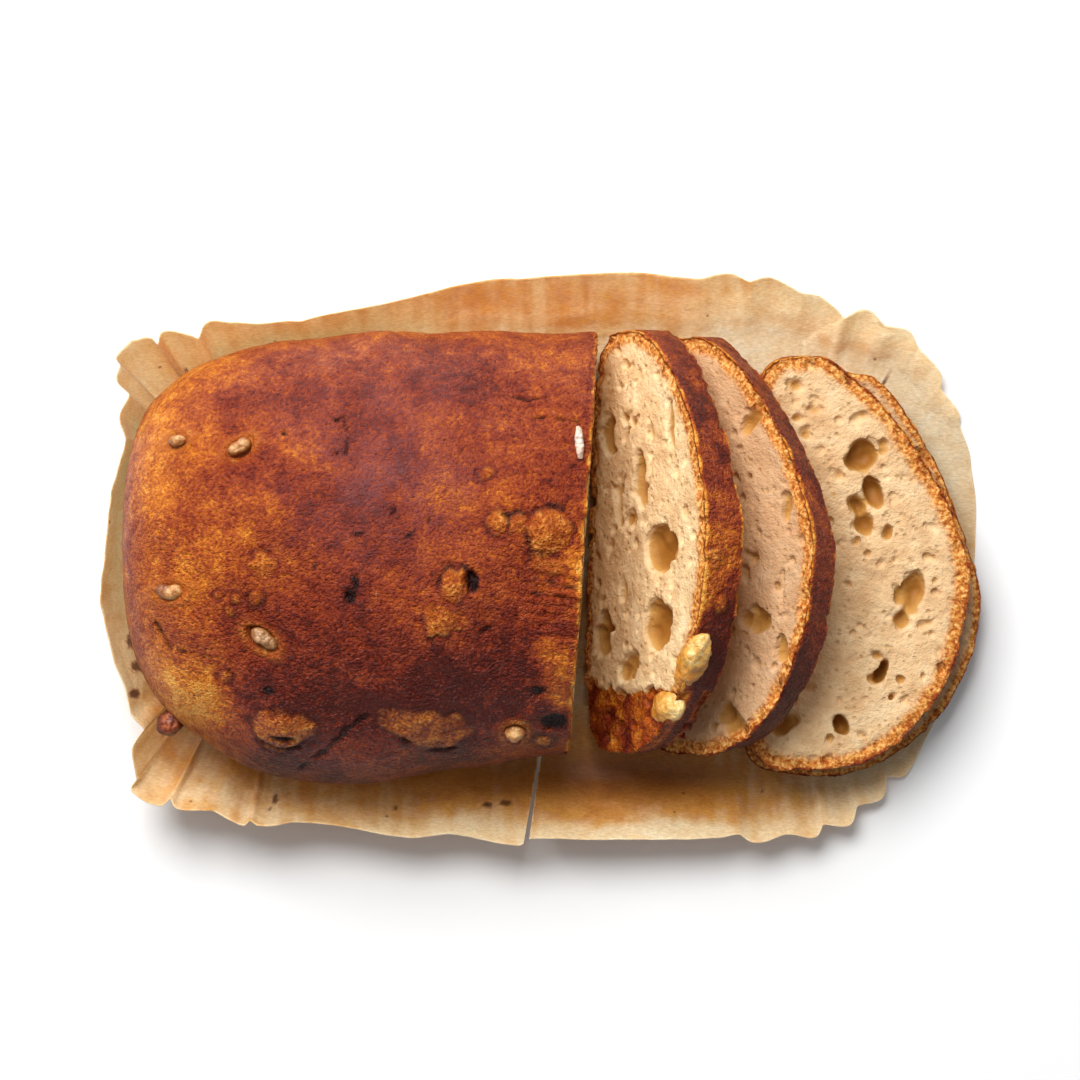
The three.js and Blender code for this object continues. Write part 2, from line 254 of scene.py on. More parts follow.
# %% The cuts and the large holes
CUT_YAW = math.radians(4)  # the cuts are this far off square
SLICES = {  # thickness in mm, degrees from upright, degrees turned to the front, place of the foot
    "slice_1": {"thick": 11.6, "lean": 29, "yaw": 2, "at": (11.4, 4)},
    "slice_2": {"thick": 9.6, "lean": 45, "yaw": 0.5, "at": (26.4, 1.6)},
    "slice_3": {"thick": 10, "lean": 90, "yaw": 1.5, "at": (54, -3.6)},
    "slice_4": {"thick": 10, "lean": 90, "yaw": 10, "at": (59.6, -4.9)},
}
CUT_START = 19.5
CUTS = np.cumsum([CUT_START] + [slice_["thick"] for slice_ in SLICES.values()])

# On the face towards the loaf, in mm: across, up, width, height, degrees turned, depth, smaller bubbles
HOLES = {
    "slice_1": [
        (32.3, 42, 14, 4, -12, 3.4, 0), (17.7, 27.2, 17, 7, -12, 3.6, 3), (30, 9, 13, 7, -15, 3.2, 3),
        (-0.8, 38, 14, 15, 0, 4.2, 1), (-20.8, 38, 15, 13, 0, 4.4, 2), (-26, 10, 12, 8, 15, 3.2, 4),
        (30.6, 31.6, 5, 3.4, 0, 2, 2), (-10.5, 45.4, 12, 2.2, 4, 1.6, 0), (20, 46, 4, 2.4, 0, 1.4, 0),
        (46, 25, 4, 3, 0, 1.5, 1), (8, 24, 4, 5, 20, 2, 1), (3, 49.5, 6, 2, 0, 1.6, 0),
        (12, 16, 15, 4, 0, 1.6, 2), (-12, 20, 8, 4, 0, 1.8, 2), (-33, 24, 9, 7, 20, 2.4, 3),
    ],
    "slice_2": [
        (36.1, 40, 12, 5, 35, 3, 0), (-18, 42.4, 8, 9, 0, 3, 2), (-25.3, 51, 8, 4.5, 0, 3, 1),
        (12.7, 52.5, 9, 3, 10, 2.4, 1), (-46, 34, 8, 8, 0, 2.6, 4), (-9, 51, 11, 2.2, 0, 1.4, 0),
        (2.5, 33, 2.2, 2, 0, 2, 0), (14, 42, 2.6, 2, 0, 1.6, 0), (-3, 30, 2.4, 2.8, 0, 2, 0),
        (6, 36, 2, 1.8, 0, 1.6, 0), (1, 27, 3, 2.2, 0, 1.6, 0), (-8, 34, 1.8, 1.8, 0, 1.6, 0),
    ],
    "slice_3": [
        (32.1, 30.9, 8.6, 9.6, -35, 5, 0), (22.3, 34.4, 9.5, 5.4, -20, 4.6, 0),
        (18.6, 30.4, 7.4, 5, -30, 4, 0), (14, 32.6, 7.4, 5.4, -15, 4, 0), (-4.4, 46.3, 13, 6.4, 10, 3.8, 4),
        (-12, 43, 6, 4, 30, 3, 2), (-26.4, 38, 8, 3.4, 25, 6, 1), (-41.2, 27.4, 6, 4, -30, 6, 1),
        (-41, 11, 7, 8, 0, 3.6, 3), (11.5, 38.8, 4.6, 3, 0, 2.6, 0), (51.2, 12.9, 4, 4, 0, 2, 1),
        (44.5, 17.7, 2.4, 6, 0, 1.2, 0), (38.8, 15.7, 3, 3.4, 0, 1.8, 0), (-27, 49.1, 3, 1.8, 0, 1.8, 0),
        (8.6, 30.4, 3.4, 1.8, 15, 2, 0), (-33.4, 40.8, 2, 2, 0, 2.4, 0), (41, 7.4, 4.6, 5, 0, 3, 2),
        (27.2, 24.5, 3, 6, 40, 1.2, 0), (36, 34.5, 5, 2, -40, 1, 0), (4, 41, 2.6, 2, 0, 1.6, 0),
        (-16, 30, 2.4, 1.6, 0, 1.4, 0), (0, 24, 2.2, 2, 0, 1.4, 0), (-1, 52, 3, 2.4, 0, 2, 0),
    ],
    "slice_4": [
        (39, 37, 6, 7, 0, 3, 2), (8, 50, 8, 4, 0, 2.4, 2), (-25, 30, 9, 7, 0, 3, 2),
        (30, 44, 7, 3, -20, 1.8, 1), (-12, 51, 9, 3, 0, 2, 1), (22, 48, 3, 4, 0, 2.6, 0),
    ],
}
PORES = {"count": 330, "radii": (0.5, 1.5), "rarity": 3.2, "rim": 0.93}

# %% A bubble, modelled once
bpy.ops.object.select_all(action="DESELECT")
bpy.ops.mesh.primitive_ico_sphere_add(subdivisions=3, radius=1)
bubble = named("bubble")
BUBBLE_POINTS = points_of(bubble)
BUBBLE_FACES = np.array([face.vertices[:] for face in bubble.data.polygons])
bpy.data.objects.remove(bubble)


def copies(name, placements):
    """One mesh of squashed balls, each given as (middle in mm, half sizes in mm, 3 x 3 turn)."""
    places = [(BUBBLE_POINTS * half) @ np.array(turn).T + middle for middle, half, turn in placements]
    faces = [BUBBLE_FACES + i * len(BUBBLE_POINTS) for i in range(len(placements))]
    mesh = bpy.data.meshes.new(name)
    mesh.from_pydata(np.concatenate(places) * MM, [], np.concatenate(faces).tolist())
    made = bpy.data.objects.new(name, mesh)
    bpy.context.scene.collection.objects.link(made)
    return made


# %% Where the bubbles are along one cut
TO_DOUGH = np.array(Matrix.Rotation(-CUT_YAW, 3, "Z"))  # from a cut's square frame to the loaf's


def on_cut(station, inward, across, up):
    """A point near a cut, in the loaf's frame: inward from the cut face, across it and up it."""
    return TO_DOUGH @ np.array([station + inward, across, up])


def bubbles_at(station, holes, seed):
    """The large holes of a cut with the smaller ones at their edges, and its pores."""
    draw = np.random.default_rng(seed)
    found = []
    for across, up, width, height, turn, depth, smaller in holes:
        spin = np.array(Matrix.Rotation(math.radians(turn), 3, "X"))
        half = np.array([depth, width / 2, height / 2])
        found.append((on_cut(station, 0, across, up), half, TO_DOUGH @ spin))
        for angle in draw.uniform(0, 2 * math.pi, smaller):
            rim = spin @ (np.array([0, math.cos(angle), math.sin(angle)]) * half * 0.86)
            small = draw.uniform(0.22, 0.42) * min(width, height)
            middle = on_cut(station, draw.uniform(-0.3, 0.3) * depth, across + rim[1], up + rim[2])
            found.append((middle, small * draw.uniform(0.7, 1.2, 3), TO_DOUGH))
    angles = draw.uniform(0, 2 * math.pi, PORES["count"])
    out = np.sqrt(draw.uniform(0, 1, PORES["count"])) * PORES["rim"]
    for place in loaf_point(np.full(PORES["count"], station), angles, out):
        small, large = PORES["radii"]
        radius = small + (large - small) * draw.uniform() ** PORES["rarity"]
        inward = draw.uniform(-0.5, 0.5) * radius
        spin = np.array(Matrix.Rotation(draw.uniform(0, math.pi), 3, "X"))
        half = radius * np.array([1.2, draw.uniform(1, 1.7), 1])
        found.append((on_cut(station, inward, place[1], place[2]), half, TO_DOUGH @ spin))
    return found


# %% [markdown]
# ## Cutting the loaf
#
# Bisecting in edit mode is the knife: it cuts all the faces along a plane, throws one side away and
# fills the cut. The bubbles that reach into the piece are then taken out of it. They overlap, and a
# Boolean goes wrong on a tool that runs through itself, so a voxel remesh makes one skin of them first.
# Its points are moved a little, because a torn wall is never smooth, and remeshed once more. A last voxel
# remesh gives crust and crumb an even net of small faces, which fine relief needs.


# %% Cut a piece out of the loaf
HOLLOW_VOXEL = 0.35  # mm


def cut_piece(name, start, end, voxel):
    """A piece of the uncut loaf between two stations, with the air holes of both its faces."""
    pick(uncut)
    bpy.ops.object.duplicate()
    piece = named(name)
    square = TO_DOUGH @ np.array([1, 0, 0])

    def slice_off(station, **side):
        bpy.ops.mesh.bisect(plane_co=square * station * MM, plane_no=square, use_fill=True, **side)

    if start is not None:
        edit(piece, lambda: slice_off(start, clear_inner=True))
    edit(piece, lambda: slice_off(end, clear_outer=True))
    faces = [station for station in (start, end) if station is not None]
    holes = [hole for station in faces for hole in cut_bubbles[round(station, 3)]]
    hollows = copies("hollows", holes)
    modify(hollows, "REMESH", mode="VOXEL", voxel_size=HOLLOW_VOXEL * MM)
    walls = points_of(hollows) / MM
    rough = 0.55 * noise(walls, 3.4, seed=31) + 0.35 * noise(walls, 1.4, seed=32)
    move_points(hollows, (walls + normals_of(hollows) * rough[:, None]) * MM)
    modify(hollows, "REMESH", mode="VOXEL", voxel_size=HOLLOW_VOXEL * MM)
    modify(piece, "BOOLEAN", operation="DIFFERENCE", object=hollows, solver="MANIFOLD")
    bpy.data.objects.remove(hollows)
    modify(piece, "REMESH", mode="VOXEL", voxel_size=voxel * MM)
    print(name, "after its cuts:", len(piece.data.polygons), "faces")
    return piece


cut_bubbles = {}
for i, station in enumerate(CUTS):
    side = list(HOLES.values())[i] if i < len(HOLES) else []
    cut_bubbles[round(station, 3)] = bubbles_at(station, side, seed=40 + i)

bread = {"loaf": cut_piece("loaf_block", None, CUTS[0], voxel=0.8)}
for i, name in enumerate(SLICES):
    bread[name] = cut_piece(f"bread_{name}", CUTS[i], CUTS[i + 1], voxel=0.47)

# %% [markdown]
# ## What lies where on the crust
#
# The crust is darkest in the middle and at the front, and stays orange along the left end; at the front,
# part of that darkness is painted shade of the side that faces away from the light. Sugar that melted under
# it left amber lumps with a dark seam round them, pits, cracks and burnt spots, and one area carries a
# painted sheen that stands in for the light's reflection. An image could be painted on, but marks that are
# written down by their place on the top of the loaf, in millimetres, can move the surface as well as colour
# it.

# %% Marks on the crust
# Large soft differences of baking: [x, y, half-length, half-width, degrees turned, darker by]
PATCHES = [
    (-60, 37, 9, 12, -30, 0.09), (-50, 32, 10, 7, -35, 0.09), (-67, 18, 12, 5, 8, 0.16),
    (-51, 9, 14, 10, 20, 0.1), (-78, 10, 10, 12, 0, 0.12), (-90, 2, 9, 6, 0, 0.12),
    (-74, 38, 4, 3, 0, 0.14), (-14, 44, 14, 8, -10, 0.2), (-2, 34, 7, 6, 0, 0.08),
    (3, 26, 6, 5, 0, 0.08), (-41, -11, 8, 11, 10, 0.14), (-86, -23, 9, 8, -30, 0.16),
    (-64, -39, 9, 6, 0, 0.12), (-14, -42, 18, 8, -8, 0.14), (-30, -36, 16, 12, 0, 0.08),
    (-34, 20, 9, 18, 12, 0.18), (8, -41, 8, 4, 0, 0.1), (-48, -46, 12, 8, 0, 0.08),
    (-57, 20, 6, 5, 0, -0.2), (-66, 8, 8, 6, 0, -0.2), (-84, -41, 9, 7, 10, -0.3),
    (-62, -8, 6, 5, 0, -0.16), (13, -36, 5, 9, 0, -0.5), (15, -7, 4, 4, 0, -0.28),
    (-18, -21, 6, 5, 0, -0.22), (-36, -60, 12, 8, 0, -0.1), (4, -53, 14, 5, 0, -0.14),
    (25.5, 2, 5, 8, 0, -0.34), (22.5, -10, 4, 6, 0, -0.34), (31, 33, 2.5, 8, 0, -0.2),
    (24, 24, 3, 4, 0, -0.2), (34, 12, 3, 6, 0, -0.16), (45, -8, 4, 9, 0, -0.2),
    (36, -26, 4, 5, 0, -0.18), (-80, 42, 12, 8, 25, 0.1), (-96, 26, 6, 14, 0, -0.1),
]
# Lumps of sugar under the crust: [x, y, half-length, half-width, degrees turned, rise]
LUMPS = [
    (10.2, 2.2, 5.4, 6.2, -8, 0.6), (-3.2, 4.6, 2.5, 2.9, 10, 0.4), (2.1, 4.2, 2.5, 3.1, -15, 0.4),
    (-14.6, -11.2, 3.8, 4.2, 20, 0.6), (-18.2, -21, 4.2, 3.4, -10, 0.6), (-22, -49.4, 10.5, 4.6, -12, -0.5),
    (-61, -49.6, 8.4, 5, -10, 0.5), (-6.5, 17.5, 1.9, 1.4, 30, 0.3), (9.4, -6.4, 4.4, 1.9, -20, 0.3),
    (-66.4, -15.4, 1.4, 1.6, 0, 0.5), (-71.4, -15.4, 1.2, 1.1, 0, 0.4), (-73.6, -18.8, 1, 1, 0, 0.4),
    (-76.4, -14.4, 0.9, 0.8, 0, 0.3), (8.6, -53.4, 2, 1.4, 0, 0.3), (-75, -36.3, 1.6, 1.4, 0, 0.4),
    (22.5, -3.8, 2.6, 3.2, 0, 0.5), (-64.5, -6.5, 3.4, 3, 10, 0.5), (24.4, -16, 1.6, 2.2, 0, 0.4),
]
# Pits that melted sugar left: [x, y, half-length, half-width, degrees turned, depth]
PITS = [
    (-71, 24.4, 3.7, 2.2, 27, 0.5), (-88, 26.3, 2.9, 1.7, 14, 0.4), (-65.2, -26.5, 4.6, 2.4, -35, 0.9),
    (-89.4, -13.6, 4.4, 2.3, 4, 0.4), (1.2, -50.6, 3, 2.4, 10, 0.4),
]
# Burnt spots: [x, y, half-length, half-width, degrees turned, depth]
BURNS = [
    (-9.8, -10.9, 1.7, 2.9, 12, 2), (11.5, -48, 3.6, 2.1, -8, 0.9), (-41.6, -14.8, 1.6, 2.2, 0, 0.9),
    (-40.2, -11, 1.1, 2, 20, 0.6), (-45.5, 31.5, 0.7, 0.7, 0, 0.6), (-59.4, 27.8, 0.7, 0.6, 0, 0.6),
    (-45.3, 22.8, 0.5, 0.5, 0, 0.5), (-50.9, -7, 0.7, 0.8, 0, 0.6), (-63.6, -39.4, 1.7, 1, 0, 0.5),
    (-60.4, -51.4, 3, 0.9, -12, 0.9), (-30.2, 7.5, 0.5, 1.3, -25, 0.5), (-21.1, 5.2, 0.5, 0.7, 0, 0.4),
    (-26.3, 1.3, 1.3, 0.5, 30, 0.4), (-39.5, 1.6, 1.6, 0.5, 10, 0.4), (7.2, -39.6, 2.4, 1.2, 0, 0.4),
]
# Cracks: lines of points, each with its half-width
CRACKS = [
    (0.55, [(13.8, 8.1), (10.9, 9.2), (7.3, 8.7), (5, 5.9), (4.1, 2.1), (5, -2), (8, -4.3), (11, -4.2)]),
    (0.45, [(-6, 6.4), (-3.2, 7.6), (-0.6, 6.4), (2.4, 7.4), (4.4, 6.2)]),
    (0.4, [(-0.5, 6.2), (-0.4, 2.4)]),
    (0.5, [(-18.6, -12), (-18.2, -8.4), (-14.4, -6), (-11, -7.6), (-9.4, -10)]),
    (0.45, [(-21.4, -25.4), (-19.3, -27.4), (-15.4, -26.8), (-9, -24.8), (-4, -22.4)]),
    (0.45, [(-94, -22), (-92.1, -24.6), (-90, -28.3), (-83.6, -30), (-79, -31.4)]),
    (0.4, [(3, -9.4), (9, -10.4), (14, -12.2), (18.4, -12.6)]),
    (0.35, [(6, -14), (12, -14.8), (18, -16.4)]),
    (0.4, [(-28.4, -52.4), (-23, -56), (-15, -55.4), (-10, -53)]),
    (0.35, [(-67, -52), (-62, -54.6), (-56, -54.8), (-52.6, -52)]),
    (0.3, [(-44, 32), (-42.6, 28), (-43, 23)]),
    (0.8, [(-56, -61), (-50, -57), (-44, -51), (-38, -47)]),
    (0.3, [(0, 38.6), (5, 37.6), (12, 38), (18, 36)]),
    (0.3, [(6, 32.6), (12, 32), (18, 31)]),
]
WRINKLES = (0.35, 2.6)  # height and spacing of the fine folds by the cut
PAINTED_SHEEN_AT = {"x": -34, "y": 20, "reach": 27}  # where a painted sheen, a pale cool reflection of the light, lies on the crust


# %% How near every point of a piece is to those marks
FAR = 1e3  # mm


def oval_distance(places, mark, ragged=0.5):
    """Millimetres outside an oval mark, less than 0 inside it, with an uneven outline."""
    x, y, length, width, turn, _ = mark
    away = np.full(len(places), FAR)
    near = np.hypot(places[:, 0] - x, places[:, 1] - y) < 2.5 * max(length, width) + 3
    right, far = places[near, 0] - x, places[near, 1] - y
    spin = math.radians(turn)
    u = right * math.cos(spin) + far * math.sin(spin)
    v = far * math.cos(spin) - right * math.sin(spin)
    size = math.sqrt(length * width)
    uneven = ragged * min(1, size / 4) * noise(places[near], max(1.6, 0.5 * size), seed=int(10 * abs(x)))
    away[near] = (np.hypot(u / length, v / width) - 1) * min(length, width) + uneven
    return away


def line_distance(places, line):
    """Millimetres from a line of points, seen from above."""
    nearest = np.full(len(places), FAR)
    for (x0, y0), (x1, y1) in zip(line, line[1:]):
        way = np.array([x1 - x0, y1 - y0])
        away = places[:, :2] - (x0, y0)
        share = np.clip(away @ way / (way @ way), 0, 1)
        nearest = np.minimum(nearest, np.hypot(*(away - share[:, None] * way).T))
    return nearest


# %% [markdown]
# ## Relief and baking
#
# The block and the slices share one function that says how far the crust stands out at a place and how
# it was baked there, so that the marks run on across the cuts. It fades into the crumb, which moves with
# the crust above it. The CAD model has the same large waves and blisters. A knife also leaves the edge of
# a cut ragged and paler, and tears the crust at the first slice's front corner over the crumb.

# %% Large unevenness, as in the CAD model
BLISTERS = [  # x, y, radius, rise
    (9.6, 2.6, 7, 1.6), (-14.5, -14, 12, 1.3), (-22.5, -49, 13, 1.8), (-61, -49, 10, 1.5),
    (-85, -40, 11, 1.2), (-65, -26, 7, -1.4), (-71, 24.4, 5, -1.3), (-88, 26.4, 5, -1), (-40, -8, 16, -0.7),
]


def swelling(places):
    """How far the crust stands out of the smooth loaf, in mm."""
    x, y, z = places.T
    height = 0.45 * np.sin(0.083 * x + 0.9) * np.sin(0.097 * y + 0.4)
    height += 0.3 * np.sin(0.19 * x - 0.11 * y + 2.1) + 0.22 * np.sin(0.27 * y + 0.21 * x + 0.5)
    for blister_x, blister_y, radius, rise in BLISTERS:
        away = ((x - blister_x) ** 2 + (y - blister_y) ** 2) / radius**2
        height += np.where(z > WAIST, rise * np.exp(-2 * away), 0)
    return height * smoothstep(z, 6, 28)


# %% The crust's relief and marks
def bake(places, depth):
    """Relief in mm, and the marks that the material paints, at places in mm in the loaf's frame."""
    x, y, z = places.T
    above = smoothstep(z, 26, 34)
    crust = np.exp(-((depth / 2.2) ** 2))
    relief = swelling(places) * np.exp(-((depth / 12) ** 2))
    relief += 0.16 * noise(places, 3.2, seed=1) * crust + 0.12 * noise(places, 1.5, seed=2) * crust
    tone = 0.6 + 0.07 * noise(places, 16, seed=3) + 0.22 * smoothstep(x, 17, 24)
    tone -= 0.26 * smoothstep(-x, 62, 86) - 0.2 * smoothstep(-x, 92, 105) + 0.1 * smoothstep(y, 40, 58)
    # Darker towards the front, partly from the baking and partly as painted shade of the side that faces
    # away from the light; the low sides are paler
    tone += 0.24 * smoothstep(-y, 6, 36) * smoothstep(x, -92, -60) - 0.12 * smoothstep(-z, -26, -8)
    for mark in PATCHES:
        away = oval_distance(places, mark, ragged=3) / min(mark[2], mark[3])
        tone += above * mark[5] * smoothstep(-away, -0.7, 0.5)
    amber, char = np.zeros(len(places)), np.zeros(len(places))
    for mark in LUMPS:
        away = oval_distance(places, mark, ragged=1.5)
        dome = np.clip(-away / min(mark[2], mark[3]), 0, 1)
        lumpy = 1 + 0.5 * noise(places, 2.2, seed=9)
        relief += crust * above * mark[5] * np.sqrt(dome) * lumpy
        amber = np.maximum(amber, above * smoothstep(-away, -0.8, 0.8))
        seam = np.exp(-(((away - 0.5) / 0.7) ** 2)) * (0.6 + 0.5 * noise(places, 2, seed=33))
        relief -= 0.3 * crust * above * seam
        tone += 0.5 * above * seam
    for mark in PITS:
        away = oval_distance(places, mark, ragged=0.3)
        rim = 0.5 * np.exp(-(((away - 0.7) / 0.8) ** 2))
        relief += crust * above * (rim - mark[5] * smoothstep(-away, -0.4, 0.8))
        amber = np.maximum(amber, 0.8 * above * np.exp(-(((away - 0.5) / 0.9) ** 2)))
    for mark in BURNS:
        away = oval_distance(places, mark, ragged=0.4)
        relief -= crust * above * mark[5] * smoothstep(-away, -0.4, 0.5)
        char = np.maximum(char, above * smoothstep(-away, -0.3, 0.3))
    for half, line in CRACKS:
        away = line_distance(places, line) + 0.5 * noise(places, 2.2, seed=4)
        gash = above * (1 - smoothstep(away, half * 0.3, half * 1.7))
        gash *= smoothstep(noise(places, 2.6, seed=34), -0.5, 0.1)
        relief -= 0.55 * crust * gash
        char = np.maximum(char, 0.8 * gash)
    height, spacing = WRINKLES
    by_cut = above * smoothstep(x, -6, 12) * smoothstep(-x, -21, -17) * np.exp(-((y + 14) / 12) ** 2)
    folds = np.sin((y + 0.12 * x) * 2 * math.pi / spacing + 2 * noise(places, 7, seed=5))
    relief += height * crust * by_cut * folds
    # Painted sheen: a pale, cool patch that stands in for the light's reflection on the crust
    x_far, y_far = (x - PAINTED_SHEEN_AT["x"]) / PAINTED_SHEEN_AT["reach"], (y - PAINTED_SHEEN_AT["y"]) / PAINTED_SHEEN_AT["reach"]
    painted_sheen = above * np.exp(-(x_far**2) - y_far**2) * (0.8 + 0.4 * noise(places, 6, seed=35))
    return relief, {"tone": tone, "amber": amber, "char": char, "painted_sheen": painted_sheen}


# %% Give a piece its relief and marks, and lay it in its place
TORN = {"bread_slice_1": (-40, 60)}  # crust pulled over the crumb: where it ends in y and in height
CRUMB_SHADE = {"bread_slice_2": 0.62, "bread_slice_3": 0.26, "bread_slice_4": 0.5}  # darker crumb, painted shade for the slices that lie in the shade of the others
THIN_RIM = {"bread_slice_4": 1.8}  # the rim of the end slice is thinner by this
PAPER_THICK, GAP, CLEAR = 0.4, 0.3, 0.05  # mm: the CAD model's paper, its gap to a slice, the least gap


def dress(piece, faces, location, turn=(0, 0, 0)):
    """Roughens crumb and crust, stores what the material reads, and lays the piece down."""
    places = points_of(piece) / MM
    nearest = [uncut_tree.find_nearest(Vector(place))[3] for place in places * MM]
    depth = np.array(nearest) / MM
    inward = np.full(len(places), FAR)
    for station, sign in faces:
        inward = np.minimum(inward, sign * (places @ (TO_DOUGH @ np.array([1, 0, 0])) - station))
    inside = smoothstep(depth, 0.4, 2)
    hollow = inside * smoothstep(inward, 0.5, 4)

    relief, marks = bake(places, depth)
    x, y, z = places.T
    width, rise, _ = section(x, np.arctan2(z - WAIST, y))
    out = np.stack([np.zeros(len(places)), y / np.maximum(width, 1), (z - WAIST) / np.maximum(rise, 1)], 1)
    out /= np.maximum(np.linalg.norm(out, axis=1, keepdims=True), 1e-6)
    steady = np.minimum(1, 2 * section_scale(x, END_POWER))
    crumbly = 0.22 * noise(places, 4.5, seed=6) + 0.15 * noise(places, 1.7, seed=7)
    crumbly += 0.1 * noise(places, 0.9, seed=8)
    crumbly *= inside * (1 - 0.7 * hollow)
    by_edge = smoothstep(-inward, -2.2, 0)
    ragged = np.minimum(0.9 * noise(places, 4.5, seed=13) + 0.7 * noise(places, 1.8, seed=14), 0.1)
    crumbly += ragged * by_edge * smoothstep(-depth, -6, -2)
    marks["tone"] -= 0.45 * smoothstep(-inward, -1.3, -0.2) * (1 + noise(places, 3, seed=19))
    torn = np.zeros(len(places))
    if piece.name in TORN:
        beyond, below = TORN[piece.name]
        edge = 3 * noise(places, 7, seed=15) + 1.5 * noise(places, 2.4, seed=16)
        torn = smoothstep(-y + edge, -beyond, 2 - beyond) * smoothstep(-z + edge, -below, 3 - below)
        torn *= smoothstep(-inward, -5, -2.5)
        crumbly -= torn * (0.9 + 0.8 * noise(places, 3, seed=17))
        ripped = 0.55 + 0.4 * noise(places, 4, seed=18) - 2 * torn * (1 - torn)
        marks["tone"] = marks["tone"] * (1 - torn) + torn * ripped
    moved = places + out * (relief * steady)[:, None] + normals_of(piece) * crumbly[:, None]
    move_points(piece, moved * MM)

    write_attribute(piece, "dough", places * MM)
    write_attribute(piece, "depth", depth * (1 - torn) * THIN_RIM.get(piece.name, 1))
    write_attribute(piece, "hollow", hollow)
    write_attribute(piece, "crumb_shade", np.full(len(places), CRUMB_SHADE.get(piece.name, 0)))
    for name, values in marks.items():
        write_attribute(piece, name, values)
    apply_place(piece, location, turn)
    settled = points_of(piece)
    settled[:, 2] = np.maximum(settled[:, 2], (PAPER_THICK + CLEAR) * MM)
    move_points(piece, settled)
    pick(piece)
    bpy.ops.object.shade_smooth()
    low, high = points_of(piece).min(0) / MM, points_of(piece).max(0) / MM
    print(piece.name, "from", low.round(1), "to", high.round(1), "mm")


dress(bread["loaf"], [(CUTS[0], -1)], LOAF_PLACE)
for i, (name, slice_) in enumerate(SLICES.items()):
    piece = bread[name]
    lean, yaw = math.radians(slice_["lean"]), math.radians(slice_["yaw"])
    below = slice_["thick"] + GAP if name == "slice_3" else 0
    lift = PAPER_THICK + GAP + below + slice_["thick"] * math.sin(lean)
    square_up = Matrix.Translation((-CUTS[i] * MM, 0, 0)) @ Matrix.Rotation(CUT_YAW, 4, "Z")
    laid = Matrix.Translation(Vector((*slice_["at"], lift)) * MM)
    laid = laid @ Matrix.Rotation(-yaw, 4, "Z") @ Matrix.Rotation(lean, 4, "Y") @ square_up
    dress(piece, [(CUTS[i], 1), (CUTS[i + 1], -1)], laid.to_translation(), laid.to_euler())

# %% [markdown]
# ## Materials, written as sums
#
# A procedural material is a small sum over noise, attributes and ramps. This class adds the nodes, so
# that a recipe reads as one, such as tone + 0.3 * blotches. Colours are given as a screen shows them.


# %% A recipe book for materials
def rgb(red, green, blue):
    """A colour as a screen shows it, 0 to 255, in the linear values that shaders take."""
    shown = np.array([red, green, blue]) / 255
    linear = np.where(shown <= 0.04045, shown / 12.92, ((shown + 0.055) / 1.055) ** 2.4)
    return (*linear.tolist(), 1)


class Value:
    """A number worked out by nodes. Sums and products of it add Math nodes."""

    def __init__(self, recipe, socket):
        self.recipe, self.socket = recipe, socket

    def __add__(self, other):
        return self.recipe.math("ADD", self, other)

    def __sub__(self, other):
        return self.recipe.math("SUBTRACT", self, other)

    def __rsub__(self, other):
        return self.recipe.math("SUBTRACT", other, self)

    def __mul__(self, other):
        return self.recipe.math("MULTIPLY", self, other)

    __radd__, __rmul__ = __add__, __mul__


class Recipe:
    """One material. Each method adds a node and gives back what comes out of it."""

    def __init__(self, name, **shader):
        self.material = bpy.data.materials.new(name)
        self.material.use_nodes = True
        self.tree = self.material.node_tree
        self.shader = self.tree.nodes["Principled BSDF"]
        for socket, value in shader.items():
            self.shader.inputs[socket.replace("_", " ")].default_value = value

    def node(self, kind, output, inputs, **settings):
        made = self.tree.nodes.new("ShaderNode" + kind)
        for name, value in settings.items():
            setattr(made, name, value)
        for key, value in inputs.items():
            self.feed(made.inputs[key], value)
        return Value(self, made.outputs[output])

    def feed(self, socket, value):
        if isinstance(value, Value):
            self.tree.links.new(value.socket, socket)
        else:
            socket.default_value = value

    def read(self, name, output="Fac"):
        return self.node("Attribute", output, {}, attribute_name=name)

    def math(self, operation, first, second):
        return self.node("Math", 0, {0: first, 1: second}, operation=operation)

    def noise(self, where, size, detail=3.0, roughness=0.55, warp=0.0):
        inputs = {"Vector": where, "Scale": 1 / size, "Detail": detail, "Roughness": roughness}
        return self.node("TexNoise", 0, {**inputs, "Distortion": warp})

    def cells(self, where, size, output="Distance", **settings):
        return self.node("TexVoronoi", output, {"Vector": where, "Scale": 1 / size}, **settings)

    def stretch(self, where, scale, turn=(0, 0, 0)):
        return self.node("Mapping", 0, {"Vector": where, "Scale": scale, "Rotation": turn})

    def fit(self, value, low, high, to_low=0.0, to_high=1.0):
        """The share of the way from low to high, kept within to_low and to_high."""
        inputs = {"Value": value, "From Min": low, "From Max": high, "To Min": to_low, "To Max": to_high}
        return self.node("MapRange", 0, inputs, interpolation_type="SMOOTHSTEP")

    def ramp(self, value, *stops):
        made = self.node("ValToRGB", 0, {0: value})
        band = made.socket.node.color_ramp
        while len(band.elements) < len(stops):
            band.elements.new(0.5)
        for element, (place, colour) in zip(band.elements, stops):
            element.position = place
            element.color = colour
        return made

    def mix(self, share, first, second, blend="MIX"):
        made = self.tree.nodes.new("ShaderNodeMix")
        made.data_type, made.blend_type = "RGBA", blend
        self.feed(made.inputs[0], share)
        self.feed(made.inputs[6], first)
        self.feed(made.inputs[7], second)
        return Value(self, made.outputs[2])

    def bump(self, height, strength=1.0):
        """Height in mm turned into a slope for the light."""
        return self.node("Bump", 0, {"Height": height, "Strength": strength, "Distance": MM})

    def finish(self, **sockets):
        for socket, value in sockets.items():
            self.feed(self.shader.inputs[socket.replace("_", " ")], value)
        return self.material
